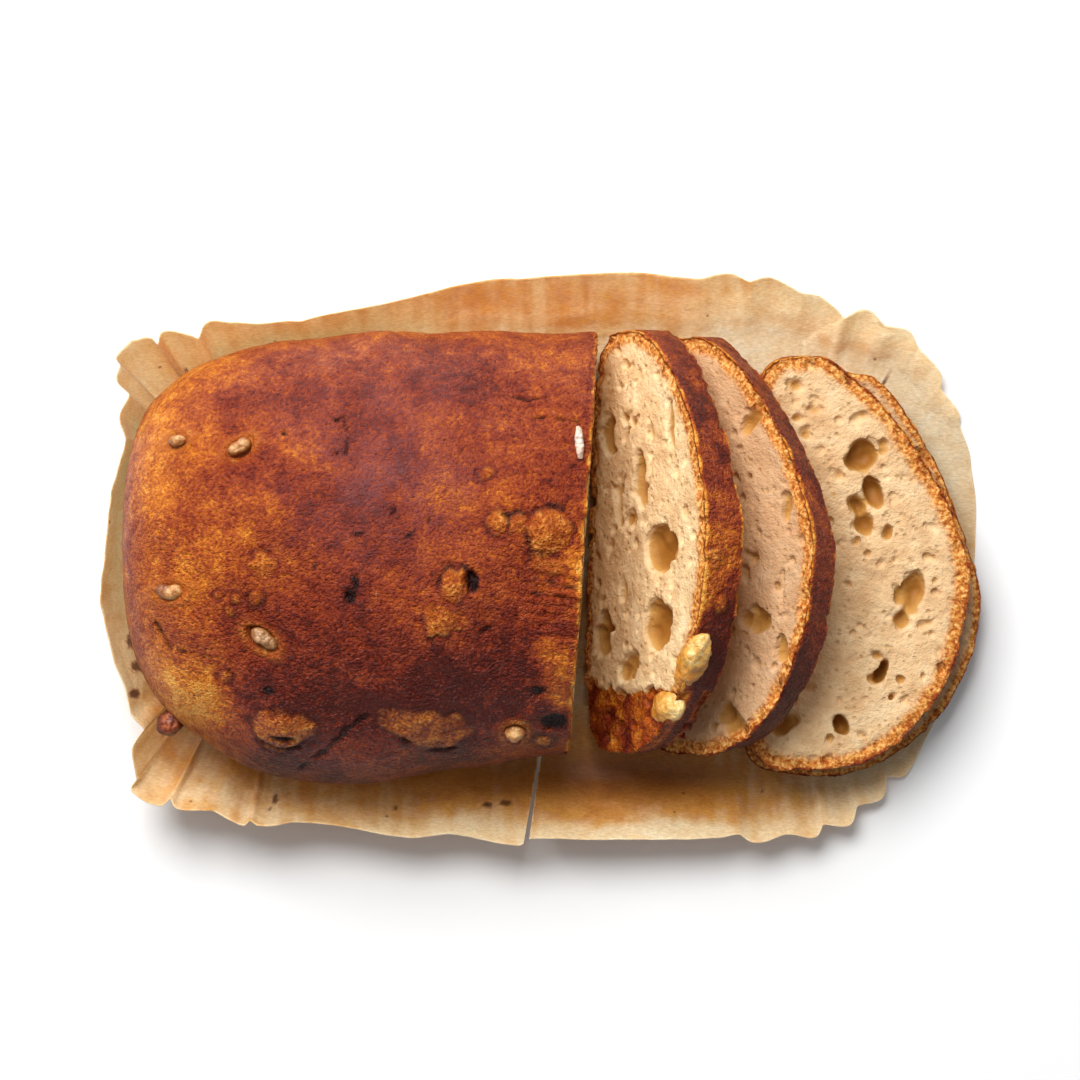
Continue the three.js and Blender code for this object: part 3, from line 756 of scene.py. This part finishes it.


# %% [markdown]
# ## Baked dough
#
# One material covers the bread, because crust turns into crumb without an edge. It reads how deep a
# point lies under the crust. At the surface the crust runs from orange to dark red-brown as it was
# baked, mottled at several sizes, with melted sugar and burnt spots where the marks say so, and a
# painted sheen that stands in for the light's reflection. Under it comes a golden granular rim, and then
# the cream crumb with its finest pores, which is darker in some slices as painted shade. Inside the air
# holes the walls are smooth and olive brown, and darker with depth as painted shade.


# %% The material of crust and crumb
def baked_dough():
    mix = Recipe("baked_dough", IOR=1.3, Subsurface_Weight=0.12, Subsurface_Scale=2.5 * MM)
    mix.shader.inputs["Subsurface Radius"].default_value = (1, 0.6, 0.35)
    where = mix.read("dough", "Vector")
    depth, hollow, tone = mix.read("depth"), mix.read("hollow"), mix.read("tone")
    amber, char, crumb_shade = mix.read("amber"), mix.read("char"), mix.read("crumb_shade")

    # Crust
    blotches = mix.noise(where, 13 * MM, 5, 0.68, warp=0.6)
    mottle = mix.noise(where, 3.4 * MM, 3, 0.7, warp=0.3)
    grain = mix.noise(where, 0.9 * MM, 2, 0.65)
    baked = tone + (blotches - 0.5) * 0.9 + (mottle - 0.5) * 0.8 + (grain - 0.5) * 1.0
    crust = mix.ramp(
        baked,
        (0.0, rgb(232, 160, 66)), (0.18, rgb(210, 122, 28)), (0.34, rgb(184, 94, 22)),
        (0.5, rgb(158, 68, 18)), (0.66, rgb(138, 50, 16)), (0.82, rgb(112, 31, 7)), (1.0, rgb(78, 16, 3)),
    )
    streaks = mix.noise(mix.stretch(where, (0.7, 1.2, 1)), 5 * MM, 4, 0.66, warp=0.4)
    crease = mix.fit(mix.math("ABSOLUTE", streaks - 0.5, 0), 0, 0.02, 1, 0) * mix.fit(blotches, 0.5, 0.64)
    crust = mix.mix(crease * 0.4, crust, rgb(60, 18, 8))
    speck = mix.fit(mix.cells(where, 5 * MM), 0.04, 0.08, 1, 0) * mix.fit(mottle, 0.42, 0.55)
    crust = mix.mix(speck * 0.8, crust, rgb(48, 14, 8))
    # Painted sheen where the light is reflected
    crust = mix.mix(mix.read("painted_sheen") * mix.fit(grain, 0.3, 0.6, 0.12, 0.4), crust, rgb(150, 92, 92))
    sugary = mix.ramp(
        mottle * 0.5 + grain * 0.5,
        (0.38, rgb(112, 38, 8)), (0.47, rgb(158, 72, 18)),
        (0.56, rgb(200, 112, 34)), (0.68, rgb(240, 176, 88)),
    )
    crust = mix.mix(amber * mix.fit(mottle, 0.3, 0.5, 0.45, 0.9), crust, sugary)
    crust = mix.mix(char, crust, rgb(34, 10, 8))

    # Rim and crumb
    grains = mix.noise(where, 1.1 * MM, 1, 0.7)
    uneven = mix.noise(where, 6 * MM, 2)
    rim_depth = depth + (uneven - 0.5) * 3 + (grains - 0.5) * 1.8
    golden = mix.ramp(grains, (0.32, rgb(160, 80, 28)), (0.5, rgb(208, 132, 56)), (0.68, rgb(238, 186, 110)))
    pale, paler = rgb(240, 206, 156), rgb(250, 222, 176)
    cream = mix.ramp(uneven, (0.3, rgb(218, 178, 128)), (0.55, pale), (0.75, paler))
    tiny = mix.cells(where, 2.1 * MM)
    tiny_pore = mix.fit(tiny, 0.12, 0.42, 1, 0) * mix.fit(mix.noise(where, 4 * MM, 2), 0.42, 0.6)
    # Painted shade: the crumb of the shaded slices is darker
    cream = mix.mix(crumb_shade, cream, rgb(186, 134, 98))
    cream = mix.mix(tiny_pore * 0.65, cream, rgb(190, 142, 86))
    # The hole walls are olive brown, and darker with depth as painted shade inside the holes
    wall = mix.ramp(hollow, (0.0, rgb(206, 162, 100)), (0.45, rgb(190, 138, 68)), (1.0, rgb(150, 96, 34)))
    cream = mix.mix(mix.fit(hollow, 0.02, 0.25), cream, wall)
    crumb = mix.mix(mix.fit(rim_depth, 2.6, 5.4), golden, cream)
    bits = mix.fit(mix.cells(where, 8 * MM), 0.08, 0.2, 1, 0) * mix.fit(rim_depth, 2.4, 4, 1, 0)
    crumb = mix.mix(bits * 0.85, crumb, rgb(108, 44, 16))
    crumb = mix.mix(mix.fit(rim_depth, 0.3, 1.5), rgb(150, 70, 24), crumb)
    inside = mix.fit(depth + (grains - 0.5) * 0.8 + (uneven - 0.5) * 0.9, 0.3, 0.7)
    colour = mix.mix(inside, crust, crumb)

    # Relief finer than the mesh, in mm
    fine = mix.noise(where, 0.45 * MM, 1, 0.6)
    skin = mottle * 0.9 + grain * 1.2 + fine * 0.16 - speck * 0.3
    crumbs = grains * 0.4 - tiny_pore * 0.25 + fine * 0.25
    height = mix.math("MULTIPLY", skin, 1 - inside) + crumbs * inside * (1 - hollow * 0.8)
    shine = mix.fit(mottle + (blotches - 0.5), 0.25, 0.75, 0.26, 0.46) + char * -0.12 + amber * -0.05
    roughness = mix.math("MAXIMUM", shine, inside * 0.85 - hollow * 0.3)
    return mix.finish(Base_Color=colour, Roughness=roughness, Normal=mix.bump(height))


DOUGH = baked_dough()
for name, piece in bread.items():
    piece.data.materials.clear()
    piece.data.materials.append(DOUGH)
    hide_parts(name)
    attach(piece, "root")
bpy.data.objects.remove(uncut)

# %% [markdown]
# ## Nibs of sugar
#
# A few nibs show on the outside: a white flake, glassy sugar in the pits and two melted lumps on the
# first slice. The CAD model has each as a rough lump. A copy of that solid is merged, subdivided and
# given a crystalline unevenness, so that it keeps its place and gets a melted look.


# %% Melt a nib from its CAD solid
def melt(node, uneven, sharp=1.0):
    """A smoother copy of a CAD nib with bumps of `uneven` mm, up to `sharp` mm apart."""
    pick(frame["nodes"][node])
    bpy.ops.object.duplicate()
    nib = named("sugar_" + node.removeprefix("nib_"))
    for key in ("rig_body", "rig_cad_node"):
        del nib[key]
    nib.parent = None
    nib.data.materials.clear()
    edit(nib, lambda: bpy.ops.mesh.remove_doubles(threshold=0.02 * MM))
    modify(nib, "SUBSURF", levels=4, render_levels=4)
    places = points_of(nib)
    bumps = noise(places, sharp * 2.2 * MM, seed=11) + 0.6 * noise(places, sharp * MM, seed=12)
    middle = places.mean(0)
    grown = middle + (places - middle) * 1.04
    move_points(nib, grown + normals_of(nib) * bumps[:, None] * uneven * MM)
    height = places[:, 2]
    write_attribute(nib, "rise", (height - height.min()) / np.ptp(height))
    pick(nib)
    bpy.ops.object.shade_smooth()
    return nib


# %% The look of melted sugar
def melted_sugar(name, dark, middle, light, roughness):
    mix = Recipe(name, Roughness=roughness, Subsurface_Weight=0.25, Subsurface_Scale=1.5 * MM)
    where = mix.node("TexCoord", "Object", {})
    cloudy = mix.noise(where, 2 * MM, 4, 0.65)
    shown = cloudy + mix.fit(mix.read("rise"), 0.5, 1, -0.25, 0.08)
    colour = mix.ramp(shown, (0.25, dark), (0.5, middle), (0.7, light))
    height = mix.noise(where, 0.8 * MM, 3) * 0.5
    return mix.finish(Base_Color=colour, Normal=mix.bump(height))


PALE = melted_sugar("pale_sugar", rgb(126, 64, 24), rgb(178, 118, 62), rgb(216, 172, 114), 0.3)
HONEY = melted_sugar("honey_sugar", rgb(204, 134, 48), rgb(232, 178, 90), rgb(250, 224, 160), 0.32)
WHITE = melted_sugar("white_sugar", rgb(196, 160, 136), rgb(226, 198, 176), rgb(246, 232, 216), 0.5)
GLASSY = melted_sugar("glassy_sugar", rgb(112, 66, 30), rgb(152, 104, 58), rgb(196, 156, 116), 0.15)
CARAMEL = melted_sugar("caramel", rgb(70, 20, 12), rgb(118, 46, 24), rgb(190, 100, 50), 0.18)

NIBS = {
    "nib_flake": (WHITE, 0.25, 0.8), "nib_pit_back": (PALE, 0.35, 1.4), "nib_pit_end": (PALE, 0.3, 1.3),
    "nib_pit_front": (GLASSY, 0.4, 1.2), "nib_end": (PALE, 0.35, 1.5), "nib_caramel": (CARAMEL, 0.5, 1.4),
    "nib_chip": (PALE, 0.45, 1), "nib_melted": (HONEY, 0.6, 1.3), "nib_honey": (HONEY, 0.5, 1.2),
}
for node, (material, uneven, sharp) in NIBS.items():
    nib = melt(node, uneven, sharp)
    nib.data.materials.append(material)
    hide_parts(node)
    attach(nib, "root")
print("sugar nibs:", len(NIBS))

# %% [markdown]
# ## The baking paper
#
# The paper case was opened out: its floor lies flat under the bread, and its walls lean outwards, still
# pleated at the corners. It could be draped by simulation, but greased paper is stiff and keeps its
# folds, so it is built from rings. A flat grid is rolled into a closed band: one side is the free edge
# of the walls, the other a ring under the loaf. The edge goes through points read from the picture. At a
# notch it has a corner and the paper a valley, and at the tip of a lobe the paper bulges up. Fine ribs
# run down the walls, as they do in every pressed case.

# %% The paper's edge
# x, y, height, run of the slope in from it, and fold: below 0 a notch, above 0 the tip of a lobe
EDGE = np.array([
    (-118.2, -20.8, 25, 9, 0), (-118.8, -15.8, 26, 8.5, 0), (-117.4, -0.2, 26, 8, 0),
    (-116.2, 12.3, 26, 7.5, 0), (-115.3, 16.6, 26, 7, 0.3), (-112, 27.1, 25, 6.5, -0.6),
    (-114.2, 33.5, 25, 8, 0.5), (-110.8, 38.8, 24, 12, -1.4), (-115.4, 44, 24, 15, 1),
    (-113.6, 47, 24, 16, -1), (-115.4, 50.3, 24, 17, 1), (-110.8, 53.6, 24, 18, -1.1),
    (-106.3, 55.2, 24, 18, 1), (-103.5, 51.9, 24, 18, -1.5), (-102.6, 56.6, 24, 17, 1),
    (-95.7, 55.7, 24, 16, 0.7), (-92.5, 53.6, 24, 15, -1.5), (-90.6, 59.3, 24, 14, 1),
    (-83.8, 59.3, 23, 12, 0.4), (-76.5, 58.5, 23, 10.5, -0.4), (-69.5, 59.5, 22, 10, 0.3),
    (-65.1, 59.2, 21.5, 9.5, -0.2), (-54.6, 61.7, 21, 9.5, 0), (-41, 64.6, 20, 12, 0),
    (-19.2, 69.8, 18, 16, 0), (-8.2, 71.3, 17, 17, 0.2), (-6.1, 71, 17, 17, -0.4),
    (2.7, 72.2, 16, 17, 0.2), (25.3, 73.4, 14, 17, 0), (36.3, 72.1, 13.5, 17, 0),
    (44, 71.4, 13, 17, -0.5), (51.8, 73.5, 12.5, 16, 0.6), (57.8, 70.7, 12, 14, -0.9),
    (62.6, 72.3, 12, 13, 0.6), (66.5, 70.8, 11.5, 13, 0), (71.7, 67.6, 11, 12, -0.7),
    (76.8, 67.3, 10, 12, 0.4), (78.6, 66, 10, 12, -0.4), (81.7, 63.9, 9, 12, 0.3),
    (83.8, 60.9, 9, 12, -1.2), (90.5, 64, 8, 12, 0.9), (95.4, 58.9, 7.5, 12, -1),
    (102.4, 58.1, 6, 11, 0.8), (105, 53.1, 5, 10, -0.8), (111.4, 46.5, 4, 9, 0.7),
    (111.5, 41.7, 3, 8, -0.6), (116.5, 35.8, 2, 7, 0.5), (117.2, 31.6, 1, 6, -0.4),
    (119.8, 24.9, 0, 6, 0.3), (120.4, 20.1, 0, 6, -0.2), (121.6, 11.2, 0, 6, 0.2),
    (121.6, 2.8, 0, 6, 0), (121.2, -7, 0, 6, 0), (119.6, -22.3, 0, 6, 0), (114.5, -41.9, 0, 6, 0),
    (107.5, -55.8, 0.5, 5, 0), (105.2, -60.3, 1, 4, 0.4), (101.2, -65.7, 2, 5, 0.5),
    (96.4, -65.3, 3, 6, -0.9), (95.1, -71.8, 4, 7, 0.8), (87.9, -73.2, 6, 9, -1),
    (85.8, -79.2, 7, 10, 0.9), (78.3, -78, 9, 12, -1), (75.9, -82.2, 9.5, 12, 0.9),
    (68, -80.4, 11, 13, -1), (59.4, -83.7, 12, 14, 1), (54.8, -80.4, 13, 14, -0.8),
    (48.1, -81.7, 14, 16, 0), (30.2, -81.9, 15, 18, 0), (13.7, -82, 16, 19, 0), (-2.7, -81.8, 16, 20, 0),
    (-6, -83.6, 16, 20, 0), (-24.1, -80.4, 16, 20, 0), (-36.2, -81.4, 16.5, 19, 0),
    (-56.2, -78, 17.5, 16, 0), (-66.2, -76.8, 18, 14, -0.6), (-76.6, -78.3, 19, 14, 0.9),
    (-79.2, -75.7, 19, 14, -1.2), (-81.4, -78.1, 19, 14, 1), (-89, -73, 19.5, 16, -1),
    (-92.5, -73.8, 20, 17, 0.8), (-99.3, -73.4, 20, 17, 1), (-100.7, -69.8, 20, 18, -1.4),
    (-104.1, -73, 20.5, 18, 1.2), (-111.6, -68.9, 21, 21, 1.2), (-109.6, -64.9, 21, 20, -1.4),
    (-111.3, -57.8, 22, 18, 1), (-110.3, -55.3, 22, 17, 0.8), (-107, -50.8, 23, 14, -1.4),
    (-110.8, -47, 24, 12, 0.3), (-112, -40.8, 24, 11, 0), (-115.3, -32, 25, 10, 0),
])
SPINE_ENDS, SPINE_Y = (-72, 72), -4  # the walls run in towards this line
PAPER_CENTRE = np.array([1.8, -5, 0])
SLOPE_POWER = 1.3
COLUMNS, WALL_ROWS, FLOOR_ROWS = 1120, 30, 12
INNER_RING = 0.12  # share of the floor's width where its rings end and one flat face begins
SHEET = 0.22  # mm, the paper's thickness
# Where the fat seeped in, or for shares below 0 did not; the high shares in front of the bread also stand
# for its shade, painted onto the paper: x, y, half-length, half-width, share
GREASE_AND_SHADE = [
    (10, 68, 34, 12, 0.42), (-104, 0, 5, 60, 0.1), (-90, -66, 14, 10, 0.1), (-50, -66, 36, 10, 0.3),
    (20, -66, 50, 11, 1.2), (84, -60, 22, 14, -0.2), (95, 20, 30, 40, -0.5), (60, 60, 16, 10, -0.4),
    (-113, 10, 6, 60, -0.6), (-100, 50, 20, 14, -0.3), (30, -81, 24, 3, -0.9), (-20, -80, 8, 4, -0.5),
]
# Bits of baked dough that stuck to the paper: x, y, half-length, half-width
STUCK_BITS = [
    (-112.5, -27.5, 1.3, 2.6), (-110.3, -34.7, 2.2, 1.8), (-112.8, 6.9, 0.8, 1.3), (-73.2, -71.5, 0.8, 1.5),
    (-74.5, -74.3, 0.6, 0.6), (-14.6, -73.4, 1.6, 0.7), (-9.6, -72.9, 1.8, 0.9), (-113.5, -8, 0.7, 1),
    (-111, -42, 1, 1.4), (-40, -74, 0.5, 0.7), (62, -70, 0.6, 0.6), (96, 44, 0.5, 0.6), (-98, 47, 0.6, 0.6),
]


# %% A closed line through the points, with corners at the notches
def closed_line(points, steps=40):
    """Points along a closed curve through all rows of `points`; only the notches are corners."""
    after, later, before = (np.roll(points, shift, axis=0) for shift in (-1, -2, 1))
    span = np.linalg.norm(after[:, :2] - points[:, :2], axis=1, keepdims=True)
    slope = (after - before) / (span + np.roll(span, 1, axis=0)) * span
    end_slope = (later - points) / (span + np.roll(span, -1, axis=0)) * span
    slope = np.where(points[:, 4:] < 0, after - points, slope)[:, None]
    end_slope = np.where(after[:, 4:] < 0, after - points, end_slope)[:, None]
    t = (np.arange(steps) / steps)[None, :, None]
    line = (2 * t**3 - 3 * t**2 + 1) * points[:, None] + (t**3 - 2 * t**2 + t) * slope
    line += (3 * t**2 - 2 * t**3) * after[:, None] + (t**3 - t**2) * end_slope
    from_notch, to_notch = points[:, 4:] < 0, after[:, 4:] < 0
    steady = t[:, :, 0]
    share = np.where(from_notch, steady**0.6, np.where(to_notch, 1 - (1 - steady) ** 0.6, steady))
    line[:, :, 4] = points[:, 4:] * (1 - share) + after[:, 4:] * share
    return line.reshape(-1, 5)


line = closed_line(EDGE)
line = np.vstack([line, line[:1]])
along = np.append(0, np.cumsum(np.linalg.norm(np.diff(line[:, :2], axis=0), axis=1)))
even = np.linspace(0, along[-1], COLUMNS, endpoint=False)
edge_x, edge_y, edge_z, run, fold = (np.interp(even, along, values) for values in line.T)
edge = np.column_stack([edge_x, edge_y])
rise = np.maximum(edge_z, 0)
spine = np.column_stack([np.clip(edge_x, *SPINE_ENDS), np.full(COLUMNS, SPINE_Y)])
inward = spine - edge
inward /= np.linalg.norm(inward, axis=1, keepdims=True)
foot = edge + inward * run[:, None]
print("the paper's edge is", round(along[-1]), "mm long")

# %% Roll a flat grid into the case
bpy.ops.object.select_all(action="DESELECT")
bpy.ops.mesh.primitive_grid_add(x_subdivisions=COLUMNS, y_subdivisions=WALL_ROWS + FLOOR_ROWS, size=2)
paper = named("baking_paper")
grid = points_of(paper)
column = np.rint((grid[:, 0] + 1) / 2 * COLUMNS).astype(int) % COLUMNS
row = (grid[:, 1] + 1) / 2 * (WALL_ROWS + FLOOR_ROWS)
wall = np.clip((row - FLOOR_ROWS) / WALL_ROWS, 0, 1)
floor_share = INNER_RING + (1 - INNER_RING) * np.clip(row / FLOOR_ROWS, 0, 1)

flat = spine[column] * (1 - floor_share)[:, None] + foot[column] * floor_share[:, None]
flat = np.where((wall > 0)[:, None], foot[column] + (edge - foot)[column] * wall[:, None], flat)
places = np.column_stack([flat, rise[column] * wall**SLOPE_POWER])
steep = np.arctan2(rise, run)[column]
out = np.column_stack([inward[column] * np.sin(steep)[:, None], np.cos(steep)])

# %% Folds, creases and wrinkles
FOLD_REACH = (8, 13)  # how far a fold runs in, in mm, and how much more for each mm of its height
OVERLAP = {"from": (83.8, 60.9), "to": (63, 50), "lift": 0.5, "width": 18}
LEAN_OUT = {"foot": 0.5, "left": 0.8}  # mm by which the walls stay off the bread, and more at the left end

from_edge = np.hypot(run, rise)[column] * (1 - wall)
reach = FOLD_REACH[0] + FOLD_REACH[1] * np.abs(fold[column])
folds = fold[column] * np.clip(1 - from_edge / reach, 0, 1) ** 1.2
creases = 1 - 2 * np.abs(noise(places, 11, seed=21))
wrinkles = 0.36 * noise(places, 19, seed=22) + 0.26 * creases + 0.12 * noise(places, 3.4, seed=23)
ribbed = np.column_stack([column * along[-1] / COLUMNS, 0.12 * from_edge, np.zeros(len(places))])
ribs = noise(ribbed, 2.6, seed=26) + 0.6 * noise(ribbed, 1.3, seed=27)
wrinkles += 0.09 * ribs
wrinkles *= smoothstep(wall, 0, 0.4)

start, end = np.array(OVERLAP["from"]), np.array(OVERLAP["to"])
lap_way = (end - start) / np.linalg.norm(end - start)
right_of = (places[:, :2] - start) @ np.array([lap_way[1], -lap_way[0]])
ahead = (places[:, :2] - start) @ lap_way
beside = smoothstep(-right_of, -0.3, 0.4) * smoothstep(right_of, -OVERLAP["width"], 0)
lap = OVERLAP["lift"] * beside * smoothstep(-ahead, -30, -18) * (ahead > -8)
at_left = smoothstep(-places[:, 0], 96, 108) * smoothstep(-wall, -1, -0.7)
off_bread = (LEAN_OUT["foot"] + LEAN_OUT["left"] * at_left) * smoothstep(wall, 0, 0.2)
places += out * (0.8 * folds + wrinkles + lap - off_bread)[:, None]
places[:, 2] = np.maximum(places[:, 2], 0) + PAPER_THICK
move_points(paper, (places - PAPER_CENTRE) * MM)

# %% Where the paper is greasy, where its painted shade lies, and where it is ribbed and stained
soaked_and_shaded = 0.3 + 0.2 * noise(places, 24, seed=24)
for x, y, length, width, share in GREASE_AND_SHADE:
    soaked_and_shaded += share * np.exp(-(((places[:, 0] - x) / length) ** 2) - ((places[:, 1] - y) / width) ** 2)
write_attribute(paper, "grease_and_shade", soaked_and_shaded)
write_attribute(paper, "ribs", ribs)
stained = np.zeros(len(places))
for x, y, length, width in STUCK_BITS:
    away = np.hypot((places[:, 0] - x) / length, (places[:, 1] - y) / width)
    stained = np.maximum(stained, smoothstep(-away - 0.3 * noise(places, 0.8, seed=25), -1.2, -0.7))
write_attribute(paper, "stained", stained)
edit(paper, lambda: bpy.ops.mesh.remove_doubles(threshold=0.01 * MM))


# %% Close the floor and give the sheet its thickness
def fill_floor():
    bpy.ops.mesh.select_all(action="DESELECT")
    bpy.ops.mesh.select_non_manifold(extend=False)
    bpy.ops.object.mode_set(mode="OBJECT")
    for side in paper.data.edges:
        ends = [paper.data.vertices[i] for i in side.vertices]
        if max(abs(end.co.x) for end in ends) > 90 * MM or max(abs(end.co.y) for end in ends) > 30 * MM:
            side.select = ends[0].select = ends[1].select = False
    bpy.ops.object.mode_set(mode="EDIT")
    bpy.ops.mesh.edge_face_add()


edit(paper, fill_floor)
inner = len(paper.data.vertices)
modify(paper, "SOLIDIFY", thickness=SHEET * MM, offset=-1)
bits = np.empty(len(paper.data.vertices), np.float32)
layer = paper.data.attributes["stained"]
layer.data.foreach_get("value", bits)
bits[inner:] = 0  # the bits stuck to the inner side, and Solidify adds the outer side's points last
layer.data.foreach_set("value", bits)

# %% Cut the tear
TEAR = {"from": np.array([-4.6, -88]), "to": np.array([0.4, -58]), "width": 1.5, "tip": 0.3, "tall": 80}
tear_way = TEAR["to"] - TEAR["from"]
middle = (TEAR["to"] + TEAR["from"]) / 2 - PAPER_CENTRE[:2]
bpy.ops.object.select_all(action="DESELECT")
bpy.ops.mesh.primitive_cube_add(size=1)
gash = named("tear")
corners = points_of(gash)
corners[:, 0] *= np.where(corners[:, 1] > 0, TEAR["tip"], 1)
move_points(gash, corners)
gash.scale = Vector((TEAR["width"], np.hypot(*tear_way), TEAR["tall"])) * MM
apply_place(gash, (*middle * MM, 0), (0, 0, math.atan2(tear_way[1], tear_way[0]) - math.pi / 2))
modify(paper, "BOOLEAN", operation="DIFFERENCE", object=gash, solver="MANIFOLD")
bpy.data.objects.remove(gash)
pick(paper)
bpy.ops.object.shade_smooth()
print("baking paper:", len(paper.data.polygons), "faces")


# %% [markdown]
# ## Greased paper
#
# Plain baking paper is a warm tan. The bread's fat seeped into it in cloudy stains, which are darker and
# yellower, most of all in front of the slices, where the darkest stage is painted shade of the bread on the
# paper, and it runs along the ribs. The paper's attributes say where. Light passes into the thin sheet,
# fibres give it a grain, and bits of baked dough stick to it.

# %% The paper's material
def greased_paper():
    mix = Recipe("greased_paper", Specular_IOR_Level=0.4, Subsurface_Weight=0.9, Subsurface_Scale=1.3 * MM)
    mix.shader.inputs["Subsurface Radius"].default_value = (0.9, 0.85, 0.75)
    where = mix.node("TexCoord", "Object", {})
    soaked_and_shaded = mix.read("grease_and_shade")
    clouds = mix.noise(where, 26 * MM, 4, 0.6, warp=0.8)
    mottle = mix.noise(where, 5 * MM, 4, 0.7)
    fibres = mix.noise(mix.stretch(where, (1, 3.5, 1), (0, 0, 0.5)), 1.4 * MM, 2, 0.7)
    ribs = mix.read("ribs")
    grease_and_shade = mix.fit(soaked_and_shaded + (clouds - 0.5) * 1.4 + (mottle - 0.5) * 1.3 + ribs * 0.16, 0.0, 1.0)
    tan, light_tan = rgb(252, 210, 168), rgb(254, 222, 188)
    plain = mix.ramp(mottle, (0.3, rgb(246, 194, 146)), (0.55, tan), (0.75, light_tan))
    oily_and_shaded = mix.ramp(mottle, (0.3, rgb(184, 112, 36)), (0.6, rgb(216, 150, 66)))
    # The darkest stage, where the shares run highest in front of the bread, is painted shade of the bread on
    # the paper
    oily_and_shaded = mix.mix(mix.fit(soaked_and_shaded + (mottle - 0.5) * 0.8, 0.8, 1.6), oily_and_shaded, rgb(150, 86, 30))
    colour = mix.mix(grease_and_shade, plain, oily_and_shaded)
    specks = mix.fit(mix.cells(where, 9 * MM), 0.03, 0.075, 1, 0) * mix.fit(clouds, 0.4, 0.5)
    colour = mix.mix(specks * 0.8, colour, rgb(120, 66, 30))
    colour = mix.mix(mix.read("stained") * 0.9, colour, rgb(84, 32, 12))
    colour = mix.mix(mix.fit(fibres, 0.35, 0.65) * 0.24, colour, rgb(150, 104, 60), blend="MULTIPLY")
    height = fibres * 0.14 + mottle * 0.4 + mix.noise(where, 11 * MM, 3) * 0.8
    roughness = mix.fit(grease_and_shade, 0, 1, 0.68, 0.45)
    return mix.finish(Base_Color=colour, Roughness=roughness, Normal=mix.bump(height))


paper.data.materials.clear()
paper.data.materials.append(greased_paper())
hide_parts("paper_case")
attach(paper, "root")

# %% [markdown]
# ## Table, light and camera
#
# The bread was photographed on a white table with one large soft light from the back left, and light
# from all round that softens the shadow. The room is darker in front and at the right, which keeps those
# sides of the crust deep and warm. The camera hangs straight above the middle.

# %% A pale floor
bpy.ops.object.select_all(action="DESELECT")
bpy.ops.mesh.primitive_plane_add(size=6, location=(0, 0, -0.05 * MM))
table = named("table")
pale = Recipe("table_white", Base_Color=(0.9, 0.9, 0.9, 1), Roughness=0.9)
table.data.materials.append(pale.material)


# %% Soft light
BRIGHT_SIDE = (-0.38, 0.92, 0)  # the room is brighter this way
ROOM = {"darkest": 0.05, "brightest": 0.68}


def soft_light(name, place, aim, size, power):
    bpy.ops.object.light_add(type="AREA", location=place)
    lamp = bpy.context.active_object
    lamp.name = name
    lamp.data.shape = "DISK"
    lamp.data.size = size
    lamp.data.energy = power
    lamp.rotation_euler = (Vector(aim) - Vector(place)).to_track_quat("-Z", "Y").to_euler()


soft_light("window", (-0.3, 0.66, 0.95), (0, 0, 0), size=0.85, power=19.6)
world = bpy.data.worlds.new("room")
bpy.context.scene.world = world
world.use_nodes = True
ways = world.node_tree.nodes.new("ShaderNodeTexCoord")
toward = world.node_tree.nodes.new("ShaderNodeVectorMath")
toward.operation = "DOT_PRODUCT"
toward.inputs[1].default_value = BRIGHT_SIDE
fade = world.node_tree.nodes.new("ShaderNodeMapRange")
world.node_tree.links.new(ways.outputs["Generated"], toward.inputs[0])
world.node_tree.links.new(toward.outputs["Value"], fade.inputs["Value"])
limits = {"From Min": -1, "From Max": 1, "To Min": ROOM["darkest"], "To Max": ROOM["brightest"]}
for socket, value in limits.items():
    fade.inputs[socket].default_value = value
backdrop = world.node_tree.nodes["Background"]
backdrop.inputs["Color"].default_value = (1, 1, 1, 1)
world.node_tree.links.new(fade.outputs[0], backdrop.inputs["Strength"])

# %% The camera
CAMERA_PLACE = (-1.8, 5, 900)  # mm
bpy.ops.object.camera_add(location=Vector(CAMERA_PLACE) * MM, rotation=(0, 0, 0))
camera = bpy.context.active_object
camera.data.sensor_width = 36
camera.data.lens = 107.4
bpy.context.scene.camera = camera
bpy.context.scene.view_settings.view_transform = "Standard"
